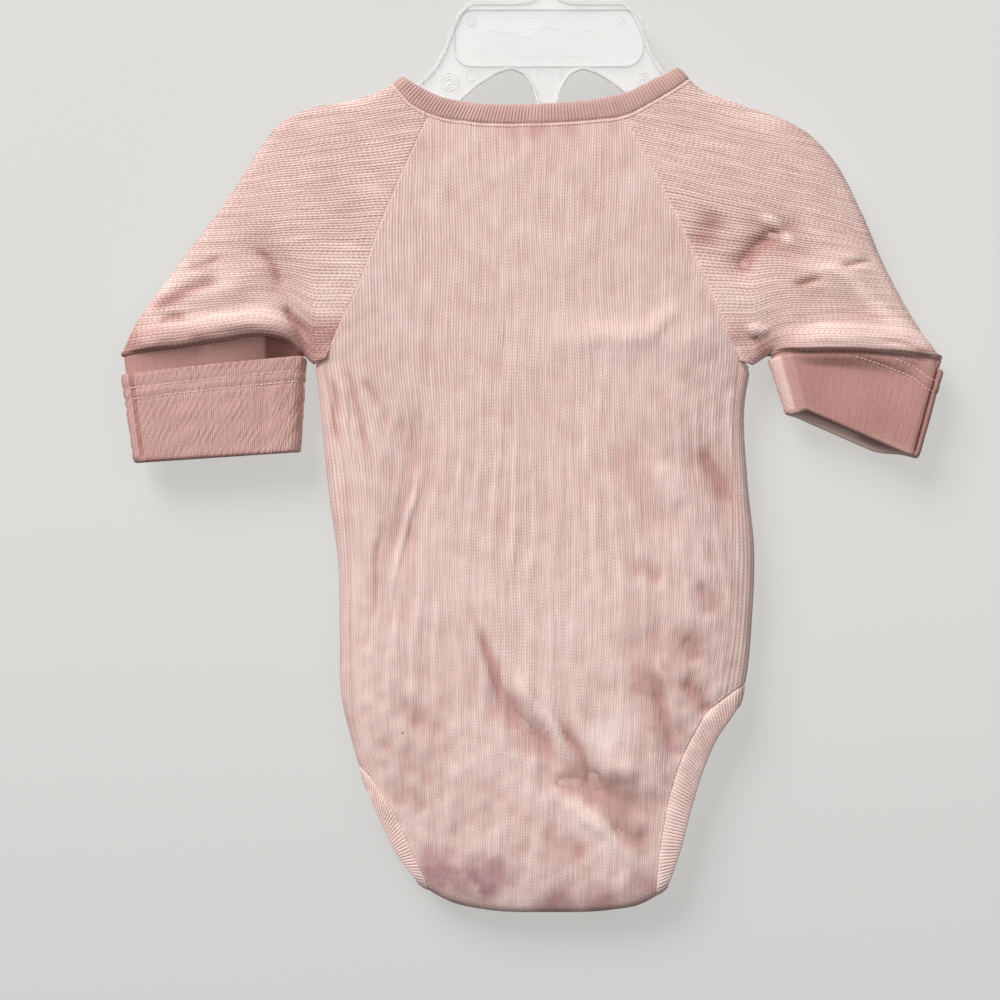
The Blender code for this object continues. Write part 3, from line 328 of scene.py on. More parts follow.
Fine = namedtuple("Fine", "left right rise path")
FINE_CREASES = {
    "back": [
        Fine(5.0, 1.6, 0.55, [(9, -194.5), (32, -195.8), (44, -195), (51.5, -188), (63, -181)]),
        Fine(1.2, 2.0, 0.40, [(-57, -250), (-57.2, -264), (-59, -268), (-63, -283), (-66.5, -298),
                              (-68, -315)]),
        Fine(1.6, 1.6, -0.40, [(-70.8, -277), (-74, -287), (-74.4, -302), (-75.2, -321)]),
        Fine(2.6, 2.0, -0.90, [(-32, -316), (-26, -334), (-18.5, -354), (-9, -366), (4, -380)]),
        Fine(2.4, 1.9, -1.05, [(4, -364), (13, -375), (19, -387), (24, -393)]),
        Fine(2.0, 2.6, 0.50, [(-1.3, -358), (8.4, -377), (12, -384)]),
        Fine(2.2, 3.4, -0.85, [(-1, -390), (9, -389), (20, -391.5), (30, -396), (40, -401)]),
        Fine(2.6, 3.0, 0.75, [(6, -396), (18, -404.5), (31, -416)]),
        Fine(2.5, 2.5, -0.80, [(28.6, -405), (32, -412), (38, -414.5), (46, -412)]),
        Fine(3.5, 3.0, -0.70, [(47, -341), (52, -360), (56, -380)]),
        Fine(1.6, 3.0, 0.55, [(45.8, -334), (51, -345), (56.3, -365)]),
        Fine(4.5, 4.0, -0.70, [(58, -326), (63, -331), (66, -338)]),
        Fine(4.0, 4.0, -0.45, [(-4, -411), (7, -417), (19, -423)]),
        Fine(4.0, 4.0, -0.40, [(-66, -353), (-54, -362), (-43, -370)]),
        Fine(5.0, 3.0, 0.70, [(47, -250), (53, -260), (59, -270)]),
        Fine(3.0, 5.0, -0.60, [(66, -242), (74, -254), (82, -270)]),
        Fine(4.0, 3.0, -0.50, [(37, -296), (44, -298), (51, -302)]),
        Fine(4.0, 4.0, -0.45, [(66, -300), (70, -308), (72, -318)]),
        Fine(2.0, 2.0, -0.40, [(-82, -212), (-74, -222), (-68, -236)]),
        Fine(1.8, 1.4, -0.60, [(-96, -210), (-93, -221), (-93.5, -231), (-91, -242)]),
        Fine(1.4, 1.6, 0.45, [(-92, -209), (-88.5, -222), (-88, -236), (-84.5, -250)]),
        Fine(1.6, 1.8, -0.45, [(-88, -206), (-84, -219), (-80.5, -234), (-77.5, -250)]),
        Fine(1.6, 1.6, 0.40, [(82, -212), (80, -224), (80.5, -240), (82, -256)]),
        Fine(2.2, 1.6, 0.55, [(-16, -340), (-7, -355), (3.5, -367), (10, -375)]),
        Fine(5.0, 2.0, 0.70, [(6, -375), (20, -382.5), (34, -385), (45, -381)]),
        Fine(4.0, 4.0, -0.70, [(58, -344), (66, -352), (70, -362)]),
        Fine(2.2, 1.6, -0.95, [(-114, -179), (-113, -185.5), (-109, -190), (-104.5, -197)]),
        Fine(1.4, 1.8, -0.50, [(-128, -155), (-120, -162.5), (-118, -169), (-118, -175)]),
        Fine(4.0, 3.2, -0.85, [(-176, -184), (-165, -178), (-154, -173), (-140, -169)]),
        Fine(2.0, 1.8, -0.45, [(-171, -189), (-162, -186), (-157, -187)]),
        Fine(1.6, 2.2, -0.60, [(-160, -190), (-153, -195), (-149, -198)]),
        Fine(2.5, 3.0, 0.60, [(-149, -188.5), (-128, -188.5), (-114, -192)]),
        Fine(2.0, 2.0, -0.40, [(-158, -164), (-149, -162.5), (-142, -159)]),
        Fine(2.8, 3.4, -0.85, [(106.5, -146), (93, -154), (87.6, -160), (85, -169)]),
        Fine(1.6, 3.0, 0.70, [(94, -139.5), (101, -146), (109, -156)]),
        Fine(2.2, 1.6, -0.50, [(127, -164.5), (135, -162.5), (143, -160)]),
        Fine(2.4, 1.6, -0.55, [(107, -173), (113, -171), (121, -168)]),
        Fine(2.6, 2.6, 0.60, [(114, -167), (126, -165.5), (134, -172), (146, -183), (163, -195)]),
        Fine(2.0, 2.0, 0.90, [(88, -190), (92, -191.5), (97, -193)]),
        Fine(1.8, 1.6, -0.80, [(89, -194), (93, -197), (94.5, -202)]),
        Fine(1.6, 1.6, -0.60, [(146, -196), (160, -199), (168, -203)]),
        Fine(6.0, 6.0, -0.50, [(76, -138), (70, -150), (66, -158)]),
        Fine(4.5, 4.0, 1.10, [(-183, -194), (-160, -192), (-140, -189), (-126, -187), (-114, -190)]),
        Fine(4.5, 4.0, 1.00, [(106, -194), (120, -193.5), (140, -194), (158, -196), (171, -198)]),
    ],
    "front": [
        Fine(4.5, 4.0, 1.00, [(-183, -195), (-150, -194), (-120, -193), (-110, -196)]),
        Fine(4.5, 4.0, 1.00, [(106, -194), (125, -194), (150, -195), (170, -197)]),
        Fine(4.0, 2.0, 0.60, [(-40, -188), (-12, -194), (20, -196), (38, -190)]),
        Fine(2.0, 2.6, -0.50, [(52, -228), (58, -256), (60, -284), (66, -306)]),
        Fine(2.6, 2.0, -0.50, [(-52, -246), (-44, -270), (-38, -292)]),
        Fine(3.0, 2.4, -0.80, [(-2, -324), (14, -346), (27, -366)]),
        Fine(2.2, 3.0, 0.60, [(-12, -336), (2, -358), (8, -374)]),
        Fine(3.0, 3.0, -0.70, [(-40, -314), (-26, -338), (-12, -354)]),
        Fine(3.0, 3.0, -0.60, [(30, -380), (40, -392), (46, -408)]),
        Fine(3.0, 3.0, -0.60, [(-30, -384), (-42, -396), (-50, -410)]),
        Fine(2.0, 2.4, -0.80, [(-170, -184), (-156, -178), (-140, -176)]),
        Fine(2.4, 2.0, 0.60, [(-148, -160), (-136, -168), (-122, -172)]),
        Fine(2.0, 2.4, -0.70, [(100, -146), (108, -158), (112, -172)]),
        Fine(2.4, 2.0, 0.60, [(128, -168), (142, -176), (158, -188)]),
    ],
}

MAIN_SHARE = 0.9
FINE_SHARE = 2.3
FINE_FADE = 0.25                    # share of a fine crease's length over which each end fades
FINE_END = 0.12                     # and how much of it is left at the very end
RIPPLE_PITCH = 7.4
RIPPLE_RISE = 0.26
RIPPLE_FAN = 0.0032


def ripples(points):
    """Faint long ripples that follow the wales and fan out down the body."""
    x, z = points[:, 0], points[:, 1]
    spread = 1 + RIPPLE_FAN * np.clip(-215 - z, 0, 170)
    across = x / spread
    wander = 1.2 * np.sin(z / 19 + across / 23) + 0.7 * np.sin(z / 8.3 - across / 11)
    wave = 2 * (0.5 + 0.5 * np.sin(2 * np.pi * (across + wander) / RIPPLE_PITCH)) ** 2.2 - 0.7
    patches = 0.5 + 0.5 * np.sin(z / 21 + across / 9.5) * np.sin(across / 17 - z / 47)
    return RIPPLE_RISE * wave * patches * smoothstep((-200 - z) / 60) * smoothstep((z + 425) / 70)


def waves(seed, count, shortest, longest, lean):
    """Directions, lengths and phases for a mix of small waves; a high lean sets them all across the wales."""
    draw = np.random.default_rng(seed)
    length = np.exp(draw.uniform(math.log(shortest), math.log(longest), count))
    turn = draw.normal(0.0, lean, count)
    directions = np.column_stack((np.cos(turn), np.sin(turn))) * (2 * np.pi / length)[:, None]
    return list(zip(directions, draw.uniform(0, 7, count)))


RUMPLES = waves(11, 18, 7.0, 26.0, 1.2)
STREAKS = waves(12, 12, 2.0, 4.4, 0.12)
RUMPLE_RISE = 0.07
STREAK_RISE = 0.016


def rumple_share(x, z):
    """The seat is more crumpled than the chest, and the sleeves are nearly smooth."""
    on_sleeve = smoothstep((np.abs(x + 7) - 44 + 0.46 * (100 + z)) / 8) * smoothstep((z + 215) / 8)
    return (0.5 + 0.6 * smoothstep((-310 - z) / 90)) * (1 - on_sleeve) + 0.16 * on_sleeve


def rumpled(points):
    """The soft unevenness of worn cloth, and uneven streaks down the wales."""
    total = np.zeros(len(points))
    share = rumple_share(points[:, 0], points[:, 1])
    for family, rise in ((RUMPLES, RUMPLE_RISE * share), (STREAKS, STREAK_RISE)):
        for direction, phase in family:
            total += rise * np.sin(points @ direction + phase + 1.3 * np.sin(points[:, 1] / 31 + phase))
    return total


def creases(points, face, main_share=MAIN_SHARE):
    relief = ripples(points) + rumpled(points)
    for crease in MAIN_CREASES[face]:
        line = np.array([(crease.x0, crease.z0), (crease.x1, crease.z1)], dtype=float)
        relief += main_share * crease.rise * np.exp(-(distance_to(points, line) / crease.width) ** 2)
    for crease in FINE_CREASES[face]:
        away, hand, along = nearest_on(points, drawn(crease.path, 14))
        width = np.where(hand > 0, crease.left, crease.right)
        fade = smoothstep(along / FINE_FADE) * smoothstep((1 - along) / FINE_FADE)
        relief += FINE_SHARE * crease.rise * (FINE_END + (1 - FINE_END) * fade) * np.exp(-(away / width) ** 2)
    return relief


HOLLOW_DEPTH = 1.5                  # a sink this deep has the full shade of a hollow
HOLLOW_MAIN_SHARE = 0.35            # the broad creases shade less than the sharp ones
RIDGE_LIMIT = -0.45


def crease_shade(points):
    """Painted shade at each point: 1 deep in a crease, where light bounces between its flanks and reddens,
    and below 0 on a ridge, painted lighter.
    """
    shade = np.zeros(len(points))
    for face, here in (("back", points[:, 1] < 0), ("front", points[:, 1] >= 0)):
        if here.any():
            sink = -creases(points[here][:, [0, 2]], face, HOLLOW_MAIN_SHARE)
            shade[here] = np.clip(sink / HOLLOW_DEPTH, RIDGE_LIMIT, 1)
    return shade


def raise_grid(flat, face, folds=None):
    """Lift a grid of points of the outline's plane onto the cloth's middle."""
    points = flat.reshape(-1, 2)
    away = -1.0 if face == "back" else 1.0
    depth = away * half_depth(points, face, folds)
    return np.column_stack((points[:, 0], depth, points[:, 1])).reshape(*flat.shape[:2], 3)


print("creases:", {face: len(MAIN_CREASES[face]) + len(FINE_CREASES[face]) for face in FACES})

# %% [markdown]
# ## A wall of knit
#
# A rib knit has a row of raised wales with a groove between them. Four points across each wale give it a
# round top. A bump map would be cheaper, but real ribs catch the light at every angle and are part of the
# mesh itself. The inside is built from fewer points, because it lies in shadow, and n-gons along the rim
# join the fine side to the coarse one, so the wall is one closed mesh.

# %% The wall builder
CLOTH = 1.2
# A sheet may carry a painted shade for each point: above 0 it darkens and reddens the colour, below 0 it
# paints it lighter.
Sheet = namedtuple("Sheet", "points relief uv lift hollow", defaults=[None, None])


def four_corners(grid):
    """The grid's values at each face's corners, in order round the face."""
    return grid[:-1, :-1], grid[:-1, 1:], grid[1:, 1:], grid[1:, :-1]


def grid_normals(points):
    """Area-weighted normals of a grid's faces. In its last rows they point away from the middle plane."""
    a, b, c, d = four_corners(points)
    normal = np.cross(c - a, d - b)
    middle = (a + b + c + d) / 4
    last = slice(2 * len(normal) // 3, None)
    flip = (normal[last, :, 1] * middle[last, :, 1]).sum() < 0
    return (-normal if flip else normal), flip


def border_runs(ids, uv, row_step, column_step, flip):
    """Stretches of a grid's border, each from one coarse point to the next, with the fine ids between."""
    last_row, last_column = ids.shape[0] - 1, ids.shape[1] - 1
    runs = []
    for column in range(0, last_column, column_step):
        here = slice(column, column + column_step + 1)
        runs.append((ids[0, here], uv[0, here]))
        runs.append((ids[last_row, here][::-1], uv[last_row, here][::-1]))
    for row in range(0, last_row, row_step):
        here = slice(row, row + row_step + 1)
        runs.append((ids[here, last_column], uv[here, last_column]))
        runs.append((ids[here, 0][::-1], uv[here, 0][::-1]))
    return [(run[::-1], coordinates[::-1]) for run, coordinates in runs] if flip else runs


def without_repeats(corners, coordinates):
    kept = [i for i in range(len(corners)) if corners[i] != corners[i - 1]]
    return [corners[i] for i in kept], [coordinates[i] for i in kept]


def knit_wall(name, sheets, step, creased=False):
    """A closed wall from grids of its middle that meet point for point."""
    every = np.concatenate([sheet.points.reshape(-1, 3) for sheet in sheets])
    rounded = np.round(every, 3) + 0.0
    _, first, merged = np.unique(rounded, axis=0, return_index=True, return_inverse=True)
    merged = merged.ravel()
    middle = every[first]
    relief = np.concatenate([sheet.relief.ravel() for sheet in sheets])[first]
    row_step, column_step = step
    normal = np.zeros_like(middle)
    grids, taken = [], 0
    for sheet in sheets:
        count = sheet.points.shape[0] * sheet.points.shape[1]
        ids = merged[taken:taken + count].reshape(sheet.points.shape[:2])
        taken += count
        face_normal, flip = grid_normals(sheet.points)
        for corner in four_corners(ids):
            np.add.at(normal, corner.ravel(), face_normal.reshape(-1, 3))
        grids.append((ids, sheet.uv, flip))
    normal /= np.maximum(np.linalg.norm(normal, axis=1), 1e-9)[:, None]
    coarse = np.unique(np.concatenate([ids[::row_step, ::column_step].ravel() for ids, _, _ in grids]))
    inner_id = np.zeros(len(middle), dtype=int)
    inner_id[coarse] = len(middle) + np.arange(len(coarse))
    vertices = np.vstack([middle + normal * (CLOTH / 2 + relief)[:, None],
                          middle[coarse] - normal[coarse] * (CLOTH / 2)])

    faces, coordinates = [], []

    def add_quads(ids, uv, turned):
        corner_ids = np.stack(four_corners(ids), axis=2).reshape(-1, 4)
        corner_uv = np.stack(four_corners(uv), axis=2).reshape(-1, 4, 2)
        if turned:
            corner_ids, corner_uv = corner_ids[:, ::-1], corner_uv[:, ::-1]
        collapsed = (corner_ids == np.roll(corner_ids, 1, axis=1)).any(axis=1)
        faces.extend(corner_ids[~collapsed].tolist())
        coordinates.extend(corner_uv[~collapsed].tolist())
        for corners, places in zip(corner_ids[collapsed].tolist(), corner_uv[collapsed].tolist()):
            corners, places = without_repeats(corners, places)
            if len(set(corners)) > 2:
                faces.append(corners)
                coordinates.append(places)

    used = {}
    for ids, uv, flip in grids:
        add_quads(ids, uv, flip)
        add_quads(inner_id[ids[::row_step, ::column_step]], uv[::row_step, ::column_step], not flip)
        for run, places in border_runs(ids, uv, row_step, column_step, flip):
            if run[0] != run[-1]:
                used.setdefault(frozenset((int(run[0]), int(run[-1]))), []).append((run, places))
    for runs in used.values():
        if len(runs) == 1:
            run, places = runs[0]
            rim = [int(i) for i in run[::-1]] + [int(inner_id[run[0]]), int(inner_id[run[-1]])]
            spots = places[::-1].tolist() + [places[0].tolist(), places[-1].tolist()]
            rim, spots = without_repeats(rim, spots)
            faces.append(rim)
            coordinates.append(spots)

    mesh = mesh_of(name, vertices, faces)
    layer = mesh.uv_layers.new(name="wales")
    layer.data.foreach_set("uv", np.concatenate([np.array(c) for c in coordinates]).ravel())
    height = mesh.attributes.new("rib", "FLOAT", "POINT")
    highest = max(float(relief.max()), 1e-6)
    lifts = [sheet.relief / highest if sheet.lift is None else sheet.lift for sheet in sheets]
    lift = np.concatenate([lift.ravel() for lift in lifts])[first]
    lift = np.concatenate([np.clip(lift, 0, 1), np.full(len(coarse), 0.5)])
    height.data.foreach_set("value", lift.astype(np.float32))
    # The painted shade of the sheets' points, with the creases' painted shade added on creased walls.
    hollow = [np.zeros(sheet.relief.shape) if sheet.hollow is None else sheet.hollow for sheet in sheets]
    hollow = np.concatenate([values.ravel() for values in hollow])[first]
    if creased:
        hollow = np.clip(hollow + crease_shade(middle), -1, 1)
    shade = mesh.attributes.new("hollow", "FLOAT", "POINT")
    shade.data.foreach_set("value", np.concatenate([hollow, hollow[coarse]]).astype(np.float32))
    mesh.set_sharp_from_angle(angle=math.radians(60))
    print(f"{name}: {sum(len(face) - 2 for face in faces)} triangles")
    return placed(name, mesh)


# %% [markdown]
# ## The body's wales
#
# On the body the ribs run from the neck to the crotch. A column of points stands on each quarter of a
# wale, and the outermost columns bend with the side seams, as the cloth does where it is eased into them.
# Cutting the columns off at the raglan and leg seams is then only a matter of where each one starts and ends.

# %% Columns on the wales
WALE_PITCH = 1.08
QUARTERS = (0.0, 0.5, 1.0, 0.5)     # how raised each quarter of a rib is, from groove to groove
BEND = 3                            # the higher, the closer to the side the wales stay straight
SEAM_DIP = 0.30                     # how far the cloth turns down into a seam
SEAM_REACH = 1.0                    # and how far from the seam it does
SHORTEST = 12.0                     # a shorter column has its end rows squeezed to fit
Widths = namedtuple("Widths", "left right left_z left_x right_z right_x")


def widths_from(sides, left_half, right_half):
    left, right = (drawn(sides[hand], 120)[::-1] for hand in HANDS)
    return Widths(left_half, right_half, left[:, 1], -left[:, 0], right[:, 1], right[:, 0])


def side_shift(u, z, widths):
    left = np.interp(z, widths.left_z, widths.left_x) - widths.left
    right = np.interp(z, widths.right_z, widths.right_x) - widths.right
    return np.where(u < 0, left, right)


Sway = namedtuple("Sway", "shift u z across along")
SWAYS = [
    Sway(3.0, -70, -246, 15, 26), Sway(-1.6, -58, -305, 18, 34), Sway(-1.8, -26, -275, 16, 30),
    Sway(1.5, -8, -330, 14, 26), Sway(2.0, 34, -296, 18, 36), Sway(-1.7, 60, -236, 15, 30),
    Sway(1.8, 62, -310, 12, 24), Sway(-1.4, 20, -160, 18, 40), Sway(1.2, -34, -170, 16, 36),
    Sway(-1.6, 24, -385, 14, 20), Sway(1.4, -30, -390, 14, 22),
]


def place_on_wales(u, z, widths):
    """The x of the wale u at height z. The wales sway where the cloth has been pulled about."""
    share = np.abs(u) / np.where(u < 0, widths.left, widths.right)
    sway = 0.35 * np.sin(z / 17 + u / 13) + 0.25 * np.sin(z / 9.7 - u / 8)
    for one in SWAYS:
        sway += one.shift * np.exp(-((u - one.u) / one.across) ** 2 - ((z - one.z) / one.along) ** 2)
    return u + np.sign(u) * side_shift(u, z, widths) * share**BEND + sway * (1 - np.minimum(share, 1) ** 6)


def wale_at(points, widths):
    """The wale that passes through each point."""
    x, z = points[:, 0], points[:, 1]
    u = x.copy()
    for _ in range(60):
        u += 0.5 * (x - place_on_wales(u, z, widths))
    return u


def wale_numbers(widths):
    """Wale coordinates from side to side, four to a rib, and the rise of each."""
    left_ribs, right_ribs = round(widths.left / WALE_PITCH), round(widths.right / WALE_PITCH)
    left = np.linspace(-widths.left, 0, 4 * left_ribs + 1)
    right = np.linspace(0, widths.right, 4 * right_ribs + 1)
    u = np.concatenate([left, right[1:]])
    return u, np.resize(QUARTERS, len(u))


def row_shares(lengths, spans, head=(), tail=()):
    """Shares down columns of the given lengths: close rows at the ends and even rows between."""
    even = np.linspace(0, 1, spans - len(head) - len(tail) + 1)[1:-1, None]
    lengths = np.maximum(lengths, SHORTEST)
    head = np.array((0.0, *head))[:, None] / lengths
    tail = 1 - np.array((*tail[::-1], 0.0))[:, None] / lengths
    return np.vstack([head, head[-1] + (tail[0] - head[-1]) * even, tail])


def seam_relief(wave, rise, to_seam):
    """The ribs' rise, flattened and turned down where the cloth meets a seam."""
    near = 1 - smoothstep(to_seam / SEAM_REACH)
    return rise * wave * (1 - near) - SEAM_DIP * near


SEAT_RISE = 0.68


def relaxed_wales(z):
    """How much of their rise the body's wales keep: the seat is stretched smoother than the chest."""
    return SEAT_RISE + (1 - SEAT_RISE) * smoothstep((z + 335) / 130)


def within(line, low, high):
    """The stretch of a line between two places along x."""
    return line[(line[:, 0] > low) & (line[:, 0] < high)]


def upper_line(face):
    """A panel's upper outline: its neck seam between its two raglan seams."""
    left, right = (RAGLAN[face, hand] for hand in HANDS)
    neck = within(drawn(NECK_SEAM[face], 200), left[0].x, right[0].x)
    return np.vstack([drawn(left)[::-1], neck, drawn(right)])


def top_and_bottom(u, widths, top, bottom):
    """Where each wale starts and ends, from the outlines above and below it."""
    ends = []
    for line in (top, bottom):
        at = wale_at(line, widths)
        order = np.argsort(at)
        ends.append(np.interp(u, at[order], line[order, 1]))
    return ends


FOLD_TURNS = [FOLD_RADIUS * (1 - math.cos(math.radians(angle))) for angle in (20, 40, 55, 70, 90)]
SEAM_STEPS = (0.4, 0.9, 1.6)
print("wale pitch, mm:", WALE_PITCH)

# %% [markdown]
# ## The back panel
#
# One piece of cloth from the back neck down to the crotch, where it turns under and ends as the flap that
# the snaps hold. The flap's columns carry on from the panel's own, so the turn at the crotch is one
# unbroken fold, as on the real garment.

# %% Back panel
BODY_RISE = 0.17
BACK_ROWS = 116
FLAP_ROWS = 12
FLAP_TOP = -416.0
FLAP_RUN = 30.0
FAR_OFF = 99.0
back_widths = widths_from(SIDE_SEAM, 85.5, 81.5)


def back_sheets():
    u, wave = wale_numbers(back_widths)
    left_leg = within(drawn(LEG_SEAM["back", "left"], 120), SIDE_SEAM["left"][-1].x, 0)
    right_leg = within(drawn(LEG_SEAM["back", "right"], 120), 0, SIDE_SEAM["right"][-1].x)
    bottom = np.vstack([left_leg, within(CROTCH_FOLD, TURN_LEFT, TURN_RIGHT), right_leg[::-1]])
    z_top, z_bottom = top_and_bottom(u, back_widths, upper_line("back"), bottom)
    length = z_top - z_bottom
    shares = row_shares(length, BACK_ROWS, SEAM_STEPS, FOLD_TURNS)
    z = z_top * (1 - shares) + z_bottom * shares
    x = place_on_wales(u, z, back_widths)
    flat = paired(x, z)
    on_fold = np.flatnonzero((x[-1] > TURN_LEFT) & (x[-1] < TURN_RIGHT))
    first, last = on_fold[0] + (-on_fold[0]) % 4, on_fold[-1] - on_fold[-1] % 4
    turned_under = (u >= u[first]) & (u <= u[last])
    to_side = np.minimum(u + back_widths.left, back_widths.right - u)
    to_bottom = np.where(turned_under, FAR_OFF, 1.0) * (1 - shares) * length
    to_seam = np.minimum(np.minimum(shares * length, to_bottom), to_side[None])
    points = raise_grid(flat, "back")
    points[-1, turned_under, 1] = 0.0
    uv = paired(u, z_top - z)
    kept = relaxed_wales(z)
    panel = Sheet(points, seam_relief(wave[None] * kept, BODY_RISE, to_seam), uv, 1 - (1 - wave[None]) * kept)

    columns = slice(first, last + 1)
    straight_rows = np.linspace(FOLD_TURNS[-1], FLAP_RUN, FLAP_ROWS - 4)[1:]
    up = np.concatenate([[0.0], FOLD_TURNS, straight_rows]) / FLAP_RUN
    fold_x, fold_z = x[-1, columns], z[-1, columns]
    flap_z = fold_z * (1 - up[:, None]) + FLAP_TOP * up[:, None]
    flap_points = raise_grid(paired(fold_x, flap_z), "flap")
    flap_points[0, :, 1] = 0.0
    flap_edge = (1 - up[:, None]) * (FLAP_TOP - fold_z)[None]
    flap_side = np.minimum(fold_x - fold_x[0], fold_x[-1] - fold_x)
    flap_uv = paired(u[columns], z_top[columns] - fold_z + up[:, None] * FLAP_RUN)
    kept = relaxed_wales(flap_z)
    to_seam = np.minimum(flap_edge, flap_side[None])
    flap = Sheet(flap_points, seam_relief(wave[None, columns] * kept, BODY_RISE, to_seam), flap_uv,
                 1 - (1 - wave[None, columns]) * kept)
    return [panel, flap]


back_panel = knit_wall("knit_back_panel", back_sheets(), (4, 4), creased=True)

# %% [markdown]
# ## The front panel
#
# The front lies behind the back as we look, and wraps a few millimetres round each side fold to meet the
# back at the side seam. Its outermost wales follow the side folds, and a strip of columns on each side
# carries them round to the seam. Its lower end covers the flap, where the snaps go through both.

# %% Front panel
FRONT_ROWS = 92
WRAP_COLUMNS = 24
FRONT_END = -428.5
HEM_INSET = 0.1
WRAP_EASE = 1.6
front_widths = widths_from(SIDE, 91.0, 87.5)


def wrap_strip(side, shares):
    """Columns from the side fold round to the side seam, one row for each given share of their height."""
    z = SIDE[side][0].z * (1 - shares) + LEG_SEAM["front", side][0].z * shares
    fold_line = drawn(SIDE[side], 200)[::-1]
    fold_x = np.interp(z, fold_line[:, 1], fold_line[:, 0])
    seam = curve_at(SIDE_SEAM[side], shares)
    across = (np.arange(WRAP_COLUMNS + 1) / WRAP_COLUMNS) ** WRAP_EASE
    fold = np.column_stack((fold_x, z))
    return fold[:, None] * (1 - across)[None, :, None] + seam[:, None] * across[None, :, None]


def front_sheets():
    u, wave = wale_numbers(front_widths)
    left_leg, right_leg = (drawn(LEG_SEAM["front", hand], 120) for hand in HANDS)
    hem_x = np.linspace(left_leg[-1, 0] + HEM_INSET, right_leg[-1, 0] - HEM_INSET, 60)
    hem = np.column_stack((hem_x, np.full(60, FRONT_END)))
    bottom = np.vstack([left_leg, hem, right_leg[::-1]])
    z_top, z_bottom = top_and_bottom(u, front_widths, upper_line("front"), bottom)
    length = z_top - z_bottom
    shares = row_shares(length, FRONT_ROWS, SEAM_STEPS, SEAM_STEPS)
    z = z_top * (1 - shares) + z_bottom * shares
    points = raise_grid(paired(place_on_wales(u, z, front_widths), z), "front")
    points[:, [0, -1], 1] = 0.0
    to_seam = np.minimum(shares * length, (1 - shares) * length)
    panel = Sheet(points, seam_relief(wave[None], BODY_RISE, to_seam), paired(u, z_top - z))
    sheets = [panel]
    for side, column in (("left", 0), ("right", -1)):
        flat = wrap_strip(side, (z_top[column] - z[:, column]) / length[column])
        flat[:, 0] = panel.points[:, column][:, [0, 2]]
        points = raise_grid(flat, "back")
        points[:, 0, 1] = 0.0
        reach = np.linalg.norm(flat - flat[:, -1:], axis=-1)
        ends = np.minimum(shares[:, column] * length[column], (1 - shares[:, column]) * length[column])
        phase = np.resize(QUARTERS, WRAP_COLUMNS + 1)
        relief = seam_relief(phase[None], BODY_RISE, np.minimum(reach, ends[:, None]))
        past = (np.arange(WRAP_COLUMNS + 1) * WALE_PITCH / 4) * (-1 if side == "left" else 1)
        uv = paired(u[column] + past, (z_top[column] - z[:, column])[:, None])
        sheets.append(Sheet(points, relief, uv))
    return sheets


front_panel = knit_wall("knit_front_panel", front_sheets(), (4, 4), creased=True)

# %% [markdown]
# ## The sleeves
#
# The sleeves' ribs run round the arm: level near the seam, along the shoulder at the top, and along the
# rolled edge at the bottom. They are laid as a family of level lines, and each quarter of a rib is one row
# of points from the raglan seam to the fold. The back and the front share the rows, so the ribs run
# unbroken over the fold, and the last rows turn down and in as the rolled edge.

# %% Sleeve rows
RIB_PITCH = 1.08
SLEEVE_RISE = 0.25
SLEEVE_COLUMNS = 52
UNDERARM_COLUMNS = 4
ROLL_RADIUS = 1.0
CUFF_RADIUS = 4.0
ROLL_TURNS = (22.5, 45, 67.5, 90)
HEM_RISE = ROLL_RADIUS + CLOTH / 2
OVERHANG = 2.8                      # how far the sleeve's end bulges out over the cuff
OVERHANG_TURN = 2.6
OVERHANG_REACH = 12.0
# Painted shade: the sleeve's colour deepens towards its roll, where the cloth turns under.
SLEEVE_SHADE = {"left": 1.1, "right": 0.5}     # how much deeper a pink the sleeve turns towards its roll
Slope = namedtuple("Slope", "z rise")
RIB_SLOPES = {
    "left": [Slope(-80, 0.18), Slope(-115, 0.15), Slope(-140, 0.06), Slope(-160, 0.0), Slope(-180, -0.02),
             Slope(-200, 0.03)],
    "right": [Slope(-76, -0.22), Slope(-115, -0.22), Slope(-140, -0.23), Slope(-160, -0.10), Slope(-180, 0.0),
              Slope(-200, -0.02)],
}
RIB_WANDER = 0.14
RIB_MIDDLE = {"left": -115.0, "right": 105.0}
RIB_LOW = {"left": -195.5, "right": -199.5}
END_HOLD = 0.45                     # share of the sleeve's height over which its ribs take on its end's curve
FRONT_RAGLAN_KEPT = 186             # of 200 points; the rest curl past the underarm


def neck_end(side):
    """Where the neck seam meets the shoulder's fold."""
    return NECK_SEAM["back"][0 if side == "left" else -1]


def rib_level(side, share, x):
    """Height of the rib line at a share of the way from the neck to the rolled edge."""
    start = neck_end(side)
    slopes = np.array(RIB_SLOPES[side])[::-1]
    high = start.z + (RIB_MIDDLE[side] - start.x) * RIB_SLOPES[side][0].rise
    level = high + (RIB_LOW[side] - high) * share
    straight = level + np.interp(level, slopes[:, 0], slopes[:, 1]) * (x - RIB_MIDDLE[side])
    straight += RIB_WANDER * (np.sin(x / 5.3 + level / 9.0) + 0.6 * np.sin(x / 2.7 - level / 6.0))
    last = np.interp(RIB_LOW[side], slopes[:, 0], slopes[:, 1])
    end_straight = RIB_LOW[side] + last * (x - RIB_MIDDLE[side])
    return straight, smoothstep((share - 1 + END_HOLD) / END_HOLD), end_straight


def rib_line(side, face, share, x):
    straight, hold, end_straight = rib_level(side, share, x)
    end = sleeve_end(side, face)
    order = np.argsort(end[:, 0])
    end_z = np.interp(x, end[order, 0], end[order, 1])
    return straight + hold * (end_z - end_straight)


def sleeve_end(side, face):
    """The sleeve's lower line, from the underarm point to the outer fold."""
    underarm = UNDERARM[side]
    line = drawn(SLEEVE_END[face, side], 90) + (0, HEM_RISE)
    line = line[np.argsort(np.abs(line[:, 0] - underarm.x))]
    return np.vstack([[underarm], line])


def share_on_rib(side, face, points):
    """Which rib line passes through each point."""
    shares = np.linspace(0, 1, 400)
    levels = rib_line(side, face, shares[:, None], points[None, :, 0])
    return np.array([np.interp(-z, -levels[:, i], shares) for i, z in enumerate(points[:, 1])])


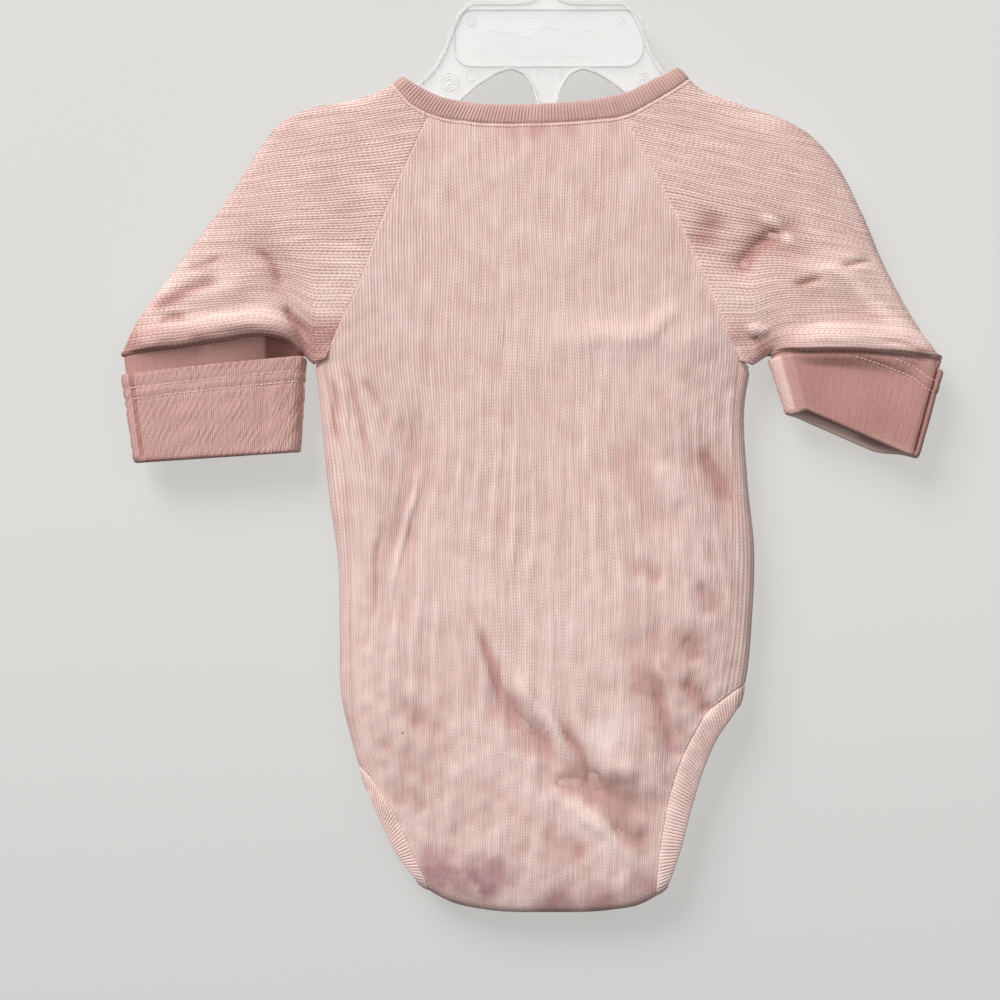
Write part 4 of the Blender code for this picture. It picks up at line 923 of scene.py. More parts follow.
def inner_boundary(side, face):
    """The sleeve's seams, from the neck's end at the fold down to the underarm."""
    neck = drawn(NECK_SEAM[face], 200)
    raglan = drawn(RAGLAN[face, side], 200)
    start = raglan[0, 0]
    if side == "right":
        neck = neck[::-1]
    past_start = neck[:, 0] > start if side == "left" else neck[:, 0] < start
    part = neck[:int(np.argmax(past_start))]
    if face == "front":
        raglan = raglan[:FRONT_RAGLAN_KEPT]
    underarm = np.array(UNDERARM[side])
    closing = raglan[-1] + (underarm - raglan[-1]) * np.linspace(0, 1, 12)[1:, None]
    return np.vstack([part, raglan, closing])


def on_ribs(side, face, shares, line):
    """The point of a line at which each rib line meets it."""
    at = np.maximum.accumulate(share_on_rib(side, face, line)) + np.arange(len(line)) * 1e-9
    at = (at - at[0]) / (at[-1] - at[0])
    return np.column_stack([np.interp(shares, at, line[:, i]) for i in (0, 1)])


def sleeve_faces(side):
    """Flat rows of both faces of a sleeve, which share their points on the outer fold."""
    outer = drawn(SHOULDER[side], 400)
    below = outer[-1, 1] + HEM_RISE
    outer = outer[int(np.argmin(np.abs(outer[:, 0] - neck_end(side).x))):]
    outer = np.vstack([outer[outer[:, 1] > below - 0.01], sleeve_end(side, "back")[-1]])
    high = float(rib_line(side, "back", 0.0, np.array([RIB_MIDDLE[side]]))[0])
    ribs = round((high - RIB_LOW[side]) / RIB_PITCH)
    shares = np.linspace(0, 1, 4 * ribs + 1)
    fold = on_ribs(side, "back", shares, outer)
    faces = {}
    for face in FACES:
        seam = on_ribs(side, face, shares, inner_boundary(side, face))
        faces[face] = sleeve_rows(side, face, shares, seam, fold)
    return shares, faces


def sleeve_rows(side, face, shares, seam, fold):
    """Points along each rib line, close together at the seam and at the fold."""
    end = sleeve_end(side, face)
    corner = end[1]
    to_corner = np.linalg.norm(corner - end[0])
    t = np.linspace(0, 1, SLEEVE_COLUMNS - len(SEAM_STEPS) + 1)
    gathered = 1 - (1 - t) ** 1.7
    end_length = run_along(end)
    spacing = rounded_spacing(SLEEVE_COLUMNS - UNDERARM_COLUMNS)
    past_corner = to_corner + (end_length[-1] - to_corner) * spacing
    along_end = np.concatenate([np.linspace(0, to_corner, UNDERARM_COLUMNS + 1)[:-1], past_corner])
    end_points = np.column_stack([np.interp(along_end, end_length, end[:, i]) for i in (0, 1)])
    end_across = (end_points[:, 0] - seam[-1, 0]) / (fold[-1, 0] - seam[-1, 0])
    flat = []
    for row, share in enumerate(shares):
        width = max(abs(fold[row, 0] - seam[row, 0]), 0.01)
        steps = np.array(SEAM_STEPS) / max(width, 8.0)
        across = np.concatenate([[0.0], steps, steps[-1] + (1 - steps[-1]) * gathered[1:]])
        blend = smoothstep((share - 0.8) / 0.2)
        across = across * (1 - blend) + end_across * blend
        x = seam[row, 0] + (fold[row, 0] - seam[row, 0]) * across
        z = rib_line(side, face, share, x)
        z += (seam[row, 1] - z[0]) * (1 - across) ** 2 + (fold[row, 1] - z[-1]) * across**2
        flat.append(np.column_stack((x, z)))
    flat[-1] = end_points
    return np.array(flat)


def rounded_spacing(count):
    """Shares from 0 to 1, closer together at both ends, where a loop turns round a fold."""
    t = np.linspace(-1, 1, count + 1)
    return 0.5 + 0.5 * np.sign(t) * (1 - (1 - np.abs(t)) ** 1.35)


def loop_inward(loop):
    """The direction into a closed loop that hangs level, at each of its points."""
    ahead = np.roll(loop[:-1], -1, axis=0) - np.roll(loop[:-1], 1, axis=0)
    ahead = np.vstack([ahead, ahead[:1]])
    inward = turning(loop[:-1, :2]) * unit(np.column_stack((-ahead[:, 1], ahead[:, 0])))
    return np.column_stack((inward, np.zeros(len(loop))))


def sleeve_sheets(side):
    """Both faces of a sleeve with their rolled edge, and the lip that the cuff starts from."""
    shares, faces = sleeve_faces(side)
    underarm = np.array(UNDERARM[side])
    grids = {}
    for face, flat in faces.items():
        corner = sleeve_end(side, face)[1]
        folds = [drawn(SHOULDER[side], 90), np.array([underarm, corner, corner - (0, CUFF_RADIUS)])]
        grid = raise_grid(flat, face, folds)
        steps_up = np.linalg.norm(np.diff(flat[::-1], axis=0, prepend=flat[-1:]), axis=-1)
        above = np.cumsum(steps_up, axis=0)[::-1]
        turn = np.sqrt(np.clip(1 - (1 - np.clip(above / OVERHANG_TURN, 0, 1)) ** 2, 0, 1))
        settle = 1 - smoothstep((above - OVERHANG_TURN) / OVERHANG_REACH)
        at_ends = smoothstep(np.linalg.norm(flat - sleeve_end(side, face)[1], axis=-1) / 14)
        at_ends = at_ends * smoothstep(np.linalg.norm(flat - flat[-1, -1], axis=-1) / 14)
        grid[..., 1] += (-1 if face == "back" else 1) * OVERHANG * turn * settle * at_ends
        grid[-1, :UNDERARM_COLUMNS + 1, 1] = 0.0
        grid[:, -1, 1] = 0.0
        grids[face] = grid
    open_part = slice(UNDERARM_COLUMNS, None)
    loop = np.concatenate([grids["back"][-1, open_part], grids["front"][-1, open_part][::-1][1:]])
    inward, down = loop_inward(loop), np.array([0.0, 0.0, -1.0])
    half = SLEEVE_COLUMNS - UNDERARM_COLUMNS + 1
    sheets = []
    rolls = [loop + ROLL_RADIUS * (math.sin(turn) * down + (1 - math.cos(turn)) * inward)
             for turn in map(math.radians, ROLL_TURNS)]
    wave = np.resize(QUARTERS, len(shares))
    for face, grid in grids.items():
        extra = []
        for roll in rolls:
            part = roll[:half] if face == "back" else roll[half - 1:][::-1]
            extra.append(np.vstack([grid[-1, :UNDERARM_COLUMNS], part]))
        points = np.concatenate([grid, np.array(extra)])
        flat = grid[..., [0, 2]]
        along = np.cumsum(np.linalg.norm(np.diff(flat, axis=1, prepend=flat[:, :1]), axis=-1), axis=1)
        relaxed = 0.6 + 0.4 * smoothstep((flat[..., 1] + 196) / 50)
        relief = seam_relief(wave[:, None] * relaxed, SLEEVE_RISE, along)
        lift = 1 - (1 - wave[:, None]) * relaxed * smoothstep(along / SEAM_REACH)
        top = smoothstep(shares * len(shares) / 8)[:, None]
        relief = np.vstack([relief * top, np.zeros((len(extra), relief.shape[1]))])
        lift = np.vstack([lift, np.tile(lift[-1:], (len(extra), 1))])
        uv = paired(shares[:, None] * len(shares) / 4 * RIB_PITCH, along)
        tail = uv[-1:] + np.array([(RIB_PITCH / 4 * step, 0) for step in range(1, len(extra) + 1)])[:, None]
        # Painted shade towards the roll, where the cloth turns under; it adds to the creases' painted shade.
        turned_under = SLEEVE_SHADE[side] * smoothstep((-182 - points[..., 2]) / 12)
        sheets.append(Sheet(points, relief, np.concatenate([uv, tail]), lift, turned_under))
    return sheets, rolls[-1]


lips = {}
sleeves = {}
for hand in HANDS:
    sheets, lips[hand] = sleeve_sheets(hand)
    sleeves[hand] = knit_wall(f"knit_sleeve_{hand}", sheets, (4, 4), creased=True)

# %% [markdown]
# ## The turned-back cuffs
#
# Each sleeve ends in a long plain cuff that is folded back up over itself, so what shows is the knit's inner
# side, darker and smoother, with the hem's two rows of stitches near its top. It is one strip of cloth from
# the sleeve's rolled edge, down inside, round the lower fold and up again outside.

# %% Cuffs
CuffSize = namedtuple("CuffSize", "mouth_inner mouth_outer hem_inner hem_outer far_drop slip grain")
CUFF_SIZES = {
    "left": CuffSize((-110.5, -243.2), (-179.5, -247.8), 41.0, 37.5, 0.0, 0.0, 1.0),
    "right": CuffSize((106.8, -222.0), (161.4, -245.7), 41.0, 38.5, 4.6, 20.0, 0.35),
}
TURN_RADIUS = 0.9
CUFF_FLARE = 0.75                   # above this share of its height the cuff widens to the sleeve's lip
CUFF_CLEAR = 1.2                    # the least gap between the hem and the sleeve's lip
FAR_DROP_SPAN = 20.0                # the far wall's mouth hangs lower, settling over this much of its width
NEAR_DROP_SHARE = 0.14
# The left cuff's pocket gets painted shade, and the right cuff's rim strip a painted highlight.
POCKET_SHARE = 0.235                # where the left cuff's inner layer falls away into a dark pocket
POCKET_TOP = -222.0
RIM_SHARE = 0.055                   # the strip of the right cuff that turns its outer side to us
SEAM_PLACE, SEAM_RIDGE = 4.6, 2.2   # how far from the fold the cuff's own seam runs, and its ridge
STITCH_SINK, STITCH_GROOVE = 0.32, 0.75     # depth and half width of the groove that a row of stitches pulls
CUFF_WALES = 152
CUFF_RISE = 0.15
CUFF_WRINKLES = ((waves(21, 10, 1.7, 3.4, 0.3), 0.045), (waves(22, 9, 8.0, 22.0, 1.2), 0.045))
INNER_ROWS, OUTER_ROWS = 16, 36
TURN_ANGLES = np.linspace(0, 180, 9)[1:-1]
HEM_ROWS = (6.4, 11.2)              # how far below the hem's edge its two rows of stitches lie
Dent = namedtuple("Dent", "side face across up width height rise layer", defaults=("both",))
DENTS = [
    Dent("left", -1, 0.20, 0.45, 0.05, 0.60, -0.7), Dent("left", -1, 0.62, 0.30, 0.16, 0.30, 0.6),
    Dent("left", -1, 0.85, 0.80, 0.10, 0.25, -0.5), Dent("left", 1, 0.40, 0.40, 0.14, 0.40, -0.6),
    Dent("left", 1, 0.75, 0.60, 0.10, 0.30, 0.5), Dent("right", -1, 0.12, 0.50, 0.10, 0.60, 0.7),
    Dent("right", -1, 0.55, 0.35, 0.18, 0.30, 0.5), Dent("right", -1, 0.78, 0.75, 0.12, 0.22, -0.6),
    Dent("right", 1, 0.35, 0.55, 0.12, 0.40, -0.6), Dent("right", 1, 0.70, 0.35, 0.14, 0.30, 0.5),
    Dent("left", -1, 0.15, 0.84, 0.12, 0.22, -6.0, "inner"),
    Dent("left", -1, 0.5, 0.84, 0.3, 0.14, -2.0, "inner"),
    Dent("left", -1, 0.14, 0.80, 0.10, 0.30, 0.9, "outer"),
    Dent("right", -1, 0.35, 0.82, 0.3, 0.12, -1.4, "inner"),
]


def cuff_sheet(side):
    """One strip: down inside, round the lower fold, and up outside to the hem."""
    size = CUFF_SIZES[side]
    lip = curve_at(lips[side], np.linspace(0, 1, 4 * CUFF_WALES + 1)) - (0, 0, CLOTH / 2)
    inner_end, outer_end = np.array(size.mouth_inner), np.array(size.mouth_outer)
    outermost = np.argmax(np.abs(lip[:, 0]))
    lip_flat = lip[:, [0, 2]]
    across = np.linalg.norm(lip_flat - lip_flat[0], axis=1)
    across = np.clip(across / across[outermost], 0.0, 1.0)
    facing = np.where(np.arange(len(lip)) <= outermost, -1.0, 1.0)
    mouth_width = np.linalg.norm(outer_end - inner_end)
    direction = (outer_end - inner_end) / mouth_width
    hem = size.hem_inner * (1 - across) + size.hem_outer * across
    position = (across - 0.5) * mouth_width
    tip = 1 - np.clip((mouth_width / 2 - np.abs(position)) / CUFF_RADIUS, 0.0, 1.0)
    broad = np.sqrt(1 - tip**2)
    mouth = (inner_end + outer_end) / 2 + position[:, None] * direction
    near_drop = 1 - smoothstep(across / NEAR_DROP_SHARE)
    far_drop = smoothstep((mouth_width / 2 - position) / FAR_DROP_SPAN)
    mouth[:, 1] -= size.far_drop * np.where(facing > 0, far_drop, near_drop)
    upwards = unit(lip_flat - mouth)
    sideways = np.column_stack((upwards[:, 1], -upwards[:, 0])) * np.sign(direction[0])
    endwards = (np.sign(position) * tip)[:, None] * sideways

    def ring(height, outset):
        flat = mouth * (1 - height)[:, None] + lip_flat * height[:, None] + outset * endwards
        flare = smoothstep((height - CUFF_FLARE) / (1 - CUFF_FLARE))
        y = facing * broad * (CUFF_RADIUS * (1 - flare) + outset) + lip[:, 1] * flare
        for dent in DENTS:
            layer = "outer" if outset > 2 * TURN_RADIUS - 0.01 else "inner"
            if dent.side == side and dent.layer in ("both", layer):
                spot = ((across - dent.across) / dent.width) ** 2 + ((height - dent.up) / dent.height) ** 2
                held = smoothstep((height - 0.93) / 0.07) if layer == "inner" else flare
                y += dent.face * dent.rise * np.exp(-spot) * (facing == dent.face) * broad * (1 - held)
        return np.column_stack((flat[:, 0], y, flat[:, 1]))

    length = np.linalg.norm(ring(np.zeros(len(lip)), 0.0)[:, [0, 2]] - lip_flat, axis=1)
    top = np.minimum(hem, length - CUFF_CLEAR) / length
    grid = [ring(np.full(len(lip), share), 0.0) for share in np.linspace(1, 0, INNER_ROWS + 1)]
    grid += [ring(-TURN_RADIUS * math.sin(math.radians(angle)) / length,
                  TURN_RADIUS * (1 - math.cos(math.radians(angle)))) for angle in TURN_ANGLES]
    grid += [ring(top * share, 2 * TURN_RADIUS) for share in np.linspace(0, 1, OUTER_ROWS + 1)]
    points = np.stack(grid)
    points[:, -1] = points[:, 0]
    wave = np.resize(QUARTERS, len(lip))
    run = np.cumsum(np.linalg.norm(np.diff(points, axis=0, prepend=points[:1]), axis=2), axis=0)
    to_hem = run[-1:] - run
    rolled = 1 - smoothstep(to_hem / 1.2)
    around = run_along(lip)
    to_edge = to_hem + size.slip * (1 - across)[None]
    doubled = smoothstep((HEM_ROWS[1] - to_edge) / 1.5)
    relief = CUFF_RISE * size.grain * wave[None] - 0.35 * rolled + 0.25 * doubled
    for row in HEM_ROWS:
        relief -= STITCH_SINK * np.exp(-((to_edge - row) / STITCH_GROOVE) ** 2)
    to_end = around[outermost] - around
    outside = smoothstep((run - length[None] - 2) / 3)
    seam_line = np.exp(-((to_end - SEAM_PLACE) / 0.7) ** 2)
    seam = 0.75 * np.exp(-((to_end - SEAM_RIDGE) / 1.5) ** 2) - 0.95 * seam_line
    relief += seam[None] * outside
    laid = paired(around + 0.35 * run, run)
    for family, rise in CUFF_WRINKLES:
        for direction, phase in family:
            bend = phase + 1.2 * np.sin(run / 9 + phase)
            relief += size.grain * rise * outside * np.sin(laid @ direction + bend)
    lift = np.tile(0.6 + size.grain * (wave - 0.6), (len(points), 1))
    near = (facing < 0)[None] * np.ones(points.shape[:2])
    # Painted shade on the cuff: a dark line along its own seam; on the left cuff, deep shade in a pocket at
    # its inner end, where the inner layer falls away, and lighter shade on the rest of the near inner layer
    # under the roll; on the right cuff, shade over the whole outer side, and painted highlights on the strip
    # that turns to us and on the far layer's lip.
    hollow = 1.1 * seam_line[None] * outside
    if side == "left":
        behind = smoothstep((POCKET_SHARE - across) / 0.015)[None] * near * (1 - outside)
        hollow += 1.75 * behind * smoothstep((points[..., 2] - POCKET_TOP) / 4)
        hollow += 0.5 * near * (1 - outside) * (1 - behind)
    else:
        hollow += 0.7 * outside
        rim = 1.7 * smoothstep((RIM_SHARE - across) / 0.012)
        rim += 0.5 * smoothstep((2.2 * RIM_SHARE - across) / 0.02)
        hollow -= rim[None] * near * outside
        hollow -= 1.9 * (1 - near) * (1 - smoothstep((np.abs(run - length[None] - 1) - 2.4) / 0.6))
    return Sheet(points, relief, paired(around, run), lift, hollow)


cuff_sheets = {hand: cuff_sheet(hand) for hand in HANDS}
cuffs = {hand: knit_wall(f"knit_cuff_{hand}", [cuff_sheets[hand]], (4, 4)) for hand in cuff_sheets}

# %% [markdown]
# ## The bindings
#
# The neck and the legs are bound with a folded band of rib, sewn on with its ribs running across it. The
# band is plump between its seam and its folded edge. Rows of points run along the band, four to a rib.

# %% Bindings
NECK_RIB, LEG_RIB = 1.5, 1.6
BAND_QUARTERS = (0.0, 0.85, 1.0, 0.85)
BINDING_RISE = 0.40
BINDING_PLUMP = 0.62
BINDING_ACROSS = np.concatenate([[0.0, 0.03], np.linspace(0.08, 0.9, 8), [0.95, 0.98, 1.0]])


def ribbon(seam, edge, face, pitch, fold_start, fold_end):
    """A stretch of binding from its seam to its folded edge, on one face of the garment."""
    shares = np.linspace(0, 1, 4 * round(length_of(seam) / pitch) + 1)
    wave, across = np.resize(BAND_QUARTERS, len(shares)), BINDING_ACROSS
    inner, outer = curve_at(seam, shares), curve_at(edge, shares)
    flat = inner[:, None] * (1 - across)[None, :, None] + outer[:, None] * across[None, :, None]
    points = raise_grid(flat, face)
    if fold_start:
        points[0, :, 1] = 0.0
    if fold_end:
        points[-1, :, 1] = 0.0
    plump = BINDING_PLUMP * np.sqrt(np.clip(1 - np.abs(2 * across - 1) ** 3, 0, 1)) - 0.15
    middle = np.sin(np.pi * across) ** 0.6
    relief = plump[None] + BINDING_RISE * wave[:, None] * middle[None]
    width = float(np.linalg.norm(outer - inner, axis=1).mean())
    uv = paired(shares[:, None] * length_of(seam), across * width)
    return Sheet(points, relief, uv, np.tile(wave[:, None], (1, len(across))))


neck_binding = knit_wall("knit_neck_binding", [
    ribbon(NECK_SEAM[face], NECK_EDGE[face], face, NECK_RIB, True, True) for face in FACES
], (4, 4))
leg_bindings = {hand: knit_wall(f"knit_leg_binding_{hand}", [
    ribbon(FLAP_SEAM[hand], FLAP_EDGE[hand], "flap", LEG_RIB, True, False),
    ribbon(LEG_SEAM["back", hand], LEG_EDGE["back", hand], "back", LEG_RIB, True, True),
    ribbon(LEG_SEAM["front", hand], LEG_EDGE["front", hand], "front", LEG_RIB, True, False),
], (4, 4)) for hand in HANDS}

# %% [markdown]
# ## Sewing
#
# Each seam closes the gap between two pieces, and rows of stitches show beside some of them: two rows hold
# each cuff's hem, a plump row runs under the neck band, and a fine row lies beside each raglan and leg seam.
# A stitch is a short thread that dips into the cloth at both ends, so it is a small bent capsule, and all
# stitches of a row become one mesh. The closed seams are thin tubes of cloth, with a thicker knot under each
# arm, where three seams meet.

# %% Threads and seams
def ring_quads(rings, sides, closed=False, start=0):
    """Quads between rings of points that begin at start; a closed run joins its last ring to its first."""
    quads = []
    for ring in range(rings if closed else rings - 1):
        here, after = start + ring * sides, start + (ring + 1) % rings * sides
        for side in range(sides):
            beyond = (side + 1) % sides
            quads.append((here + side, here + beyond, after + beyond, after + side))
    return quads


def tube_faces(rings, sides, start=0):
    """The quads of one tube and a cap at both of its ends."""
    last = start + (rings - 1) * sides
    caps = [tuple(range(start + sides - 1, start - 1, -1)), tuple(range(last, last + sides))]
    return ring_quads(rings, sides, start=start) + caps


def full_turn(sides):
    return np.linspace(0, 2 * np.pi, sides + 1)[:-1]


def tube(points, radius, sides=6):
    """A round tube along a line of points."""
    ahead = unit(np.gradient(points, axis=0))
    across = unit(np.cross(ahead, (0.0, 1.0, 0.001)))
    up = np.cross(across, ahead)
    turns = full_turn(sides)
    rings = points[:, None] + radius * (np.cos(turns)[None, :, None] * across[:, None]
                                        + np.sin(turns)[None, :, None] * up[:, None])
    return rings.reshape(-1, 3), tube_faces(len(points), sides)


Stitch = namedtuple("Stitch", "pitch length radius")
NECK_STITCH, HEM_STITCH = Stitch(1.3, 1.5, 0.50), Stitch(2.0, 1.6, 0.19)
RAGLAN_STITCH, LEG_STITCH = Stitch(1.5, 1.25, 0.21), Stitch(1.4, 1.0, 0.16)
STITCH_RINGS = np.array([-1.0, -0.75, 0.0, 0.75, 1.0])
STITCH_SHAPE = np.array([0.45, 0.85, 1.0, 0.85, 0.45])


def stitches(points, outward, stitch, sides=5):
    """A row of threads along a line, each dipping into the cloth at its ends."""
    along = run_along(points)
    centres = np.arange(stitch.pitch / 2, along[-1] - stitch.pitch / 4, stitch.pitch)
    turns = full_turn(sides)
    ahead_all = unit(np.gradient(points, axis=0))
    verts, faces = [], []
    for centre in centres:
        here, ahead, up = (np.array([np.interp(centre, along, line[:, i]) for i in range(3)])
                           for line in (points, ahead_all, outward))
        ahead, up = unit(ahead), unit(up)
        across = unit(np.cross(ahead, up))
        for step, shape in zip(STITCH_RINGS, STITCH_SHAPE):
            middle = here + ahead * step * stitch.length / 2 - up * stitch.radius * 1.1 * step**2
            verts += [middle + stitch.radius * shape * (math.cos(turn) * across + math.sin(turn) * up)
                      for turn in turns]
        faces += tube_faces(len(STITCH_RINGS), sides, len(verts) - len(STITCH_RINGS) * sides)
    return np.array(verts), faces


def joined(name, shapes):
    """One mesh of many small shapes, each a pair of points and faces."""
    verts = np.vstack([points for points, _ in shapes])
    faces, start = [], 0
    for points, own in shapes:
        faces += [tuple(start + corner for corner in face) for face in own]
        start += len(points)
    print(f"{name}: {sum(len(face) - 2 for face in faces)} triangles")
    return placed(name, mesh_of(name, verts, faces))


def on_cloth(path, face, out=0.0, count=120, aside=0.0):
    """A line on the cloth, moved out of it and to its right, with the direction out of the cloth."""
    flat = drawn(path, count)
    if aside:
        ahead = unit(np.gradient(flat, axis=0))
        flat = flat + aside * np.column_stack((ahead[:, 1], -ahead[:, 0]))
    step = 0.5
    points = raise_grid(flat[None], face)[0]
    east = raise_grid((flat + (step, 0))[None], face)[0]
    north = raise_grid((flat + (0, step))[None], face)[0]
    normal = unit(np.cross(east - points, north - points))
    away = -1.0 if face == "back" else 1.0
    normal *= np.where(normal[:, 1] * away < 0, -1.0, 1.0)[:, None]
    return points + normal * out, normal


SEAM_CORD = 0.55
SEAM_OUT = 0.05
KNOT_CORD = 0.95
KNOTS = [rows((-94, -201), (-98, -204.4), (-100.8, -206.8)), rows((82, -203), (85.5, -205.8), (87.8, -208.2))]
seam_lines = []
for face in FACES:
    seam_lines.append((NECK_SEAM[face], face, SEAM_OUT, 200))
    for hand in HANDS:
        seam_lines += [(RAGLAN[face, hand], face, SEAM_OUT), (LEG_SEAM[face, hand], face, SEAM_OUT)]
for hand in HANDS:
    seam_lines += [(SIDE_SEAM[hand], "back", SEAM_OUT), (FLAP_SEAM[hand], "flap", SEAM_OUT)]
seam_shapes = [tube(on_cloth(*line)[0], SEAM_CORD) for line in seam_lines]
seam_shapes += [tube(on_cloth(knot, "back", -0.3, 24)[0], KNOT_CORD, 10) for knot in KNOTS]
for face in FACES:
    line = on_cloth(NECK_SEAM[face], face, CLOTH / 2 + 0.15, 200, 1.25)
    seam_shapes.append(stitches(*line, NECK_STITCH))
closed_seams = joined("closed_seams", seam_shapes)


def hem_line(sheet, side, below):
    """A line round the cuff, a set distance below its hem, where the hem hasn't slipped away."""
    points, run = sheet.points, sheet.uv[..., 1]
    across = np.abs(points[0, :, 0] - points[0, 0, 0])
    across = across / across.max()
    to_hem = run[-1:] - run + CUFF_SIZES[side].slip * (1 - across)
    line, ahead_rows = [], []
    for column in range(points.shape[1]):
        if to_hem[-1, column] > below - 0.8:
            continue
        outer_part = slice(len(points) - OUTER_ROWS, None)
        order = to_hem[outer_part, column][::-1]
        share = np.interp(below, order, np.arange(OUTER_ROWS))
        low = int(min(max(share, 0), OUTER_ROWS - 2))
        rows_up = points[outer_part, column][::-1]
        line.append(rows_up[low] + (share - low) * (rows_up[low + 1] - rows_up[low]))
        ahead_rows.append(rows_up[low] - rows_up[low + 1])
    line = np.array(line)
    around = unit(np.gradient(line, axis=0))
    outward = unit(np.cross(around, unit(np.array(ahead_rows))))
    outward *= np.sign((outward[:, 1] * line[:, 1]).sum())
    return line + outward * (CLOTH / 2 + 0.12), outward


hem_stitches = {}
for hand in HANDS:
    lines = [hem_line(cuff_sheets[hand], hand, below) for below in HEM_ROWS]
    hem_stitches[hand] = joined(f"hem_stitches_{hand}", [stitches(*line, HEM_STITCH) for line in lines])

fine_shapes = []
for face in FACES:
    for hand, toward_body in (("left", -1.0), ("right", 1.0)):
        line = on_cloth(RAGLAN[face, hand], face, CLOTH / 2 + 0.1, 120, toward_body * 0.5)
        fine_shapes.append(stitches(*line, RAGLAN_STITCH))
        line = on_cloth(LEG_SEAM[face, hand], face, CLOTH / 2 + 0.05, 120, toward_body * 1.0)
        fine_shapes.append(stitches(*line, LEG_STITCH))
seam_stitches = joined("seam_stitches", fine_shapes)

# %% [markdown]
# ## Turned snaps
#
# A snap for baby clothes is a domed cap outside, a prong ring inside, and a small socket and stud between the
# two layers. Each is round about its axis, so each is a profile turned on that axis, as a press tool would
# make it.

# %% Snaps
TURN_SIDES = 40
SNAPS = rows((-38.5, -422.3), (-2.5, -422.3), (33.5, -422.3))
CAP_PROFILE = [(0.0, 1.2), (1.4, 1.17), (2.6, 1.05), (3.5, 0.86), (3.9, 0.72), (4.15, 0.74), (4.5, 0.62),
               (4.72, 0.4), (4.75, 0.2), (4.6, 0.03), (4.4, 0.0), (0.0, 0.0)]
CORE_PROFILE = [(0.0, 2.2), (1.1, 2.2), (1.3, 2.0), (1.5, 1.5), (2.2, 1.42), (2.8, 1.4), (3.0, 1.2),
                (3.0, 0.9), (2.85, 0.75), (3.0, 0.6), (3.0, 0.2), (2.8, 0.0), (0.0, 0.0)]
RING_PROFILE = [(2.1, 0.0), (2.1, 0.7), (2.4, 0.95), (3.0, 1.0), (3.9, 0.92), (4.5, 0.68), (4.75, 0.35),
                (4.7, 0.1), (4.5, 0.0)]


def turned(name, profile, x, base_y, z, sign):
    """A closed shape turned about a line along y from (radius, height) rows."""
    verts, faces = [], []
    on_axis = profile[0][0] == 0.0
    inner = profile[1:-1] if on_axis else profile
    for radius, height in inner:
        for turn in full_turn(TURN_SIDES):
            verts.append((x + radius * math.cos(turn), base_y + sign * height, z + radius * math.sin(turn)))
    rings = len(inner)
    for quad in ring_quads(rings, TURN_SIDES, closed=not on_axis):
        faces.append(quad if sign > 0 else quad[::-1])
    if on_axis:
        for end, ring, forward in ((profile[0], 0, True), (profile[-1], rings - 1, False)):
            centre = len(verts)
            verts.append((x, base_y + sign * end[1], z))
            for side in range(TURN_SIDES):
                fan = [centre, ring * TURN_SIDES + (side + 1) % TURN_SIDES, ring * TURN_SIDES + side]
                faces.append(fan if forward == (sign > 0) else fan[::-1])
    mesh = mesh_of(name, verts, faces)
    mesh.set_sharp_from_angle(angle=math.radians(50))
    return placed(name, mesh)


SNAP_LAYERS = {"cap": (CAP_PROFILE, 8.4, 1), "core": (CORE_PROFILE, 4.4, 1), "ring": (RING_PROFILE, 2.6, -1)}
snaps = []
for number, place in enumerate(SNAPS, start=1):
    for part, (profile, base_y, sign) in SNAP_LAYERS.items():
        piece = turned(f"pressed_{part}_{number}", profile, place.x, base_y, place.z, sign)
        snaps.append((piece, f"snap_{part}_{number}"))
print("snap parts:", len(snaps))

# %% [markdown]
# ## The hanger
#
# The hanger is moulded clear plastic: a thin web stiffened by a raised bead along every edge, with a bordered
# panel on its plate, two arched holes below it, and a few round ejector marks. The web is a filled curve, and
# each bead is a rounded bar swept along its edge, because the highlights along the beads are what shows
# that clear plastic is there at all.

# %% Hanger outlines
HANGER_DROP = 2.2
HOOK_INSIDE = 14.0
HOOK_WIDTH = 5.0
HOOK_START, HOOK_END = -60, 195
HOOK_NECK = rows((0.2, -38.5), (2.9, -32.6))
HOOK_FLARE = rows((3, -41), (5, -44), (9, -45.8), (13.5, -46.2))
HANGER_NECK = rows((34, -46.2), (38.8, -51), (42.8, -59), (46, -68), (50, -75), (55, -80.5), (62, -85.5))
HANGER_UNDER = rows((116, -118), (102, -108), (85, -101.5), (67, -99), (55, -101), (46, -105.5))
HANGER_ARCH = rows((4, -99.5), (4.5, -92), (6.5, -85), (10, -79), (15.5, -76.5), (22, -78.5), (30, -83.5),
                   (37.5, -90), (42, -95), (42.5, -99.5))
LABEL_LOW, LABEL_HIGH, LABEL_ROUND = Point(-41, -75), Point(42, -50), 8.0


def beside(line, amount):
    """A line moved sideways, to its right as it runs."""
    ahead = unit(np.gradient(line, axis=0))
    return line + amount * np.column_stack((ahead[:, 1], -ahead[:, 0]))


def arm_top(shoulder, inner_x, outer_x, towards_inside):
    line = drawn(shoulder, 200)
    kept = line[(line[:, 0] - inner_x) * (line[:, 0] - outer_x) <= 0]
    return beside(kept, towards_inside * HANGER_DROP)[::8]


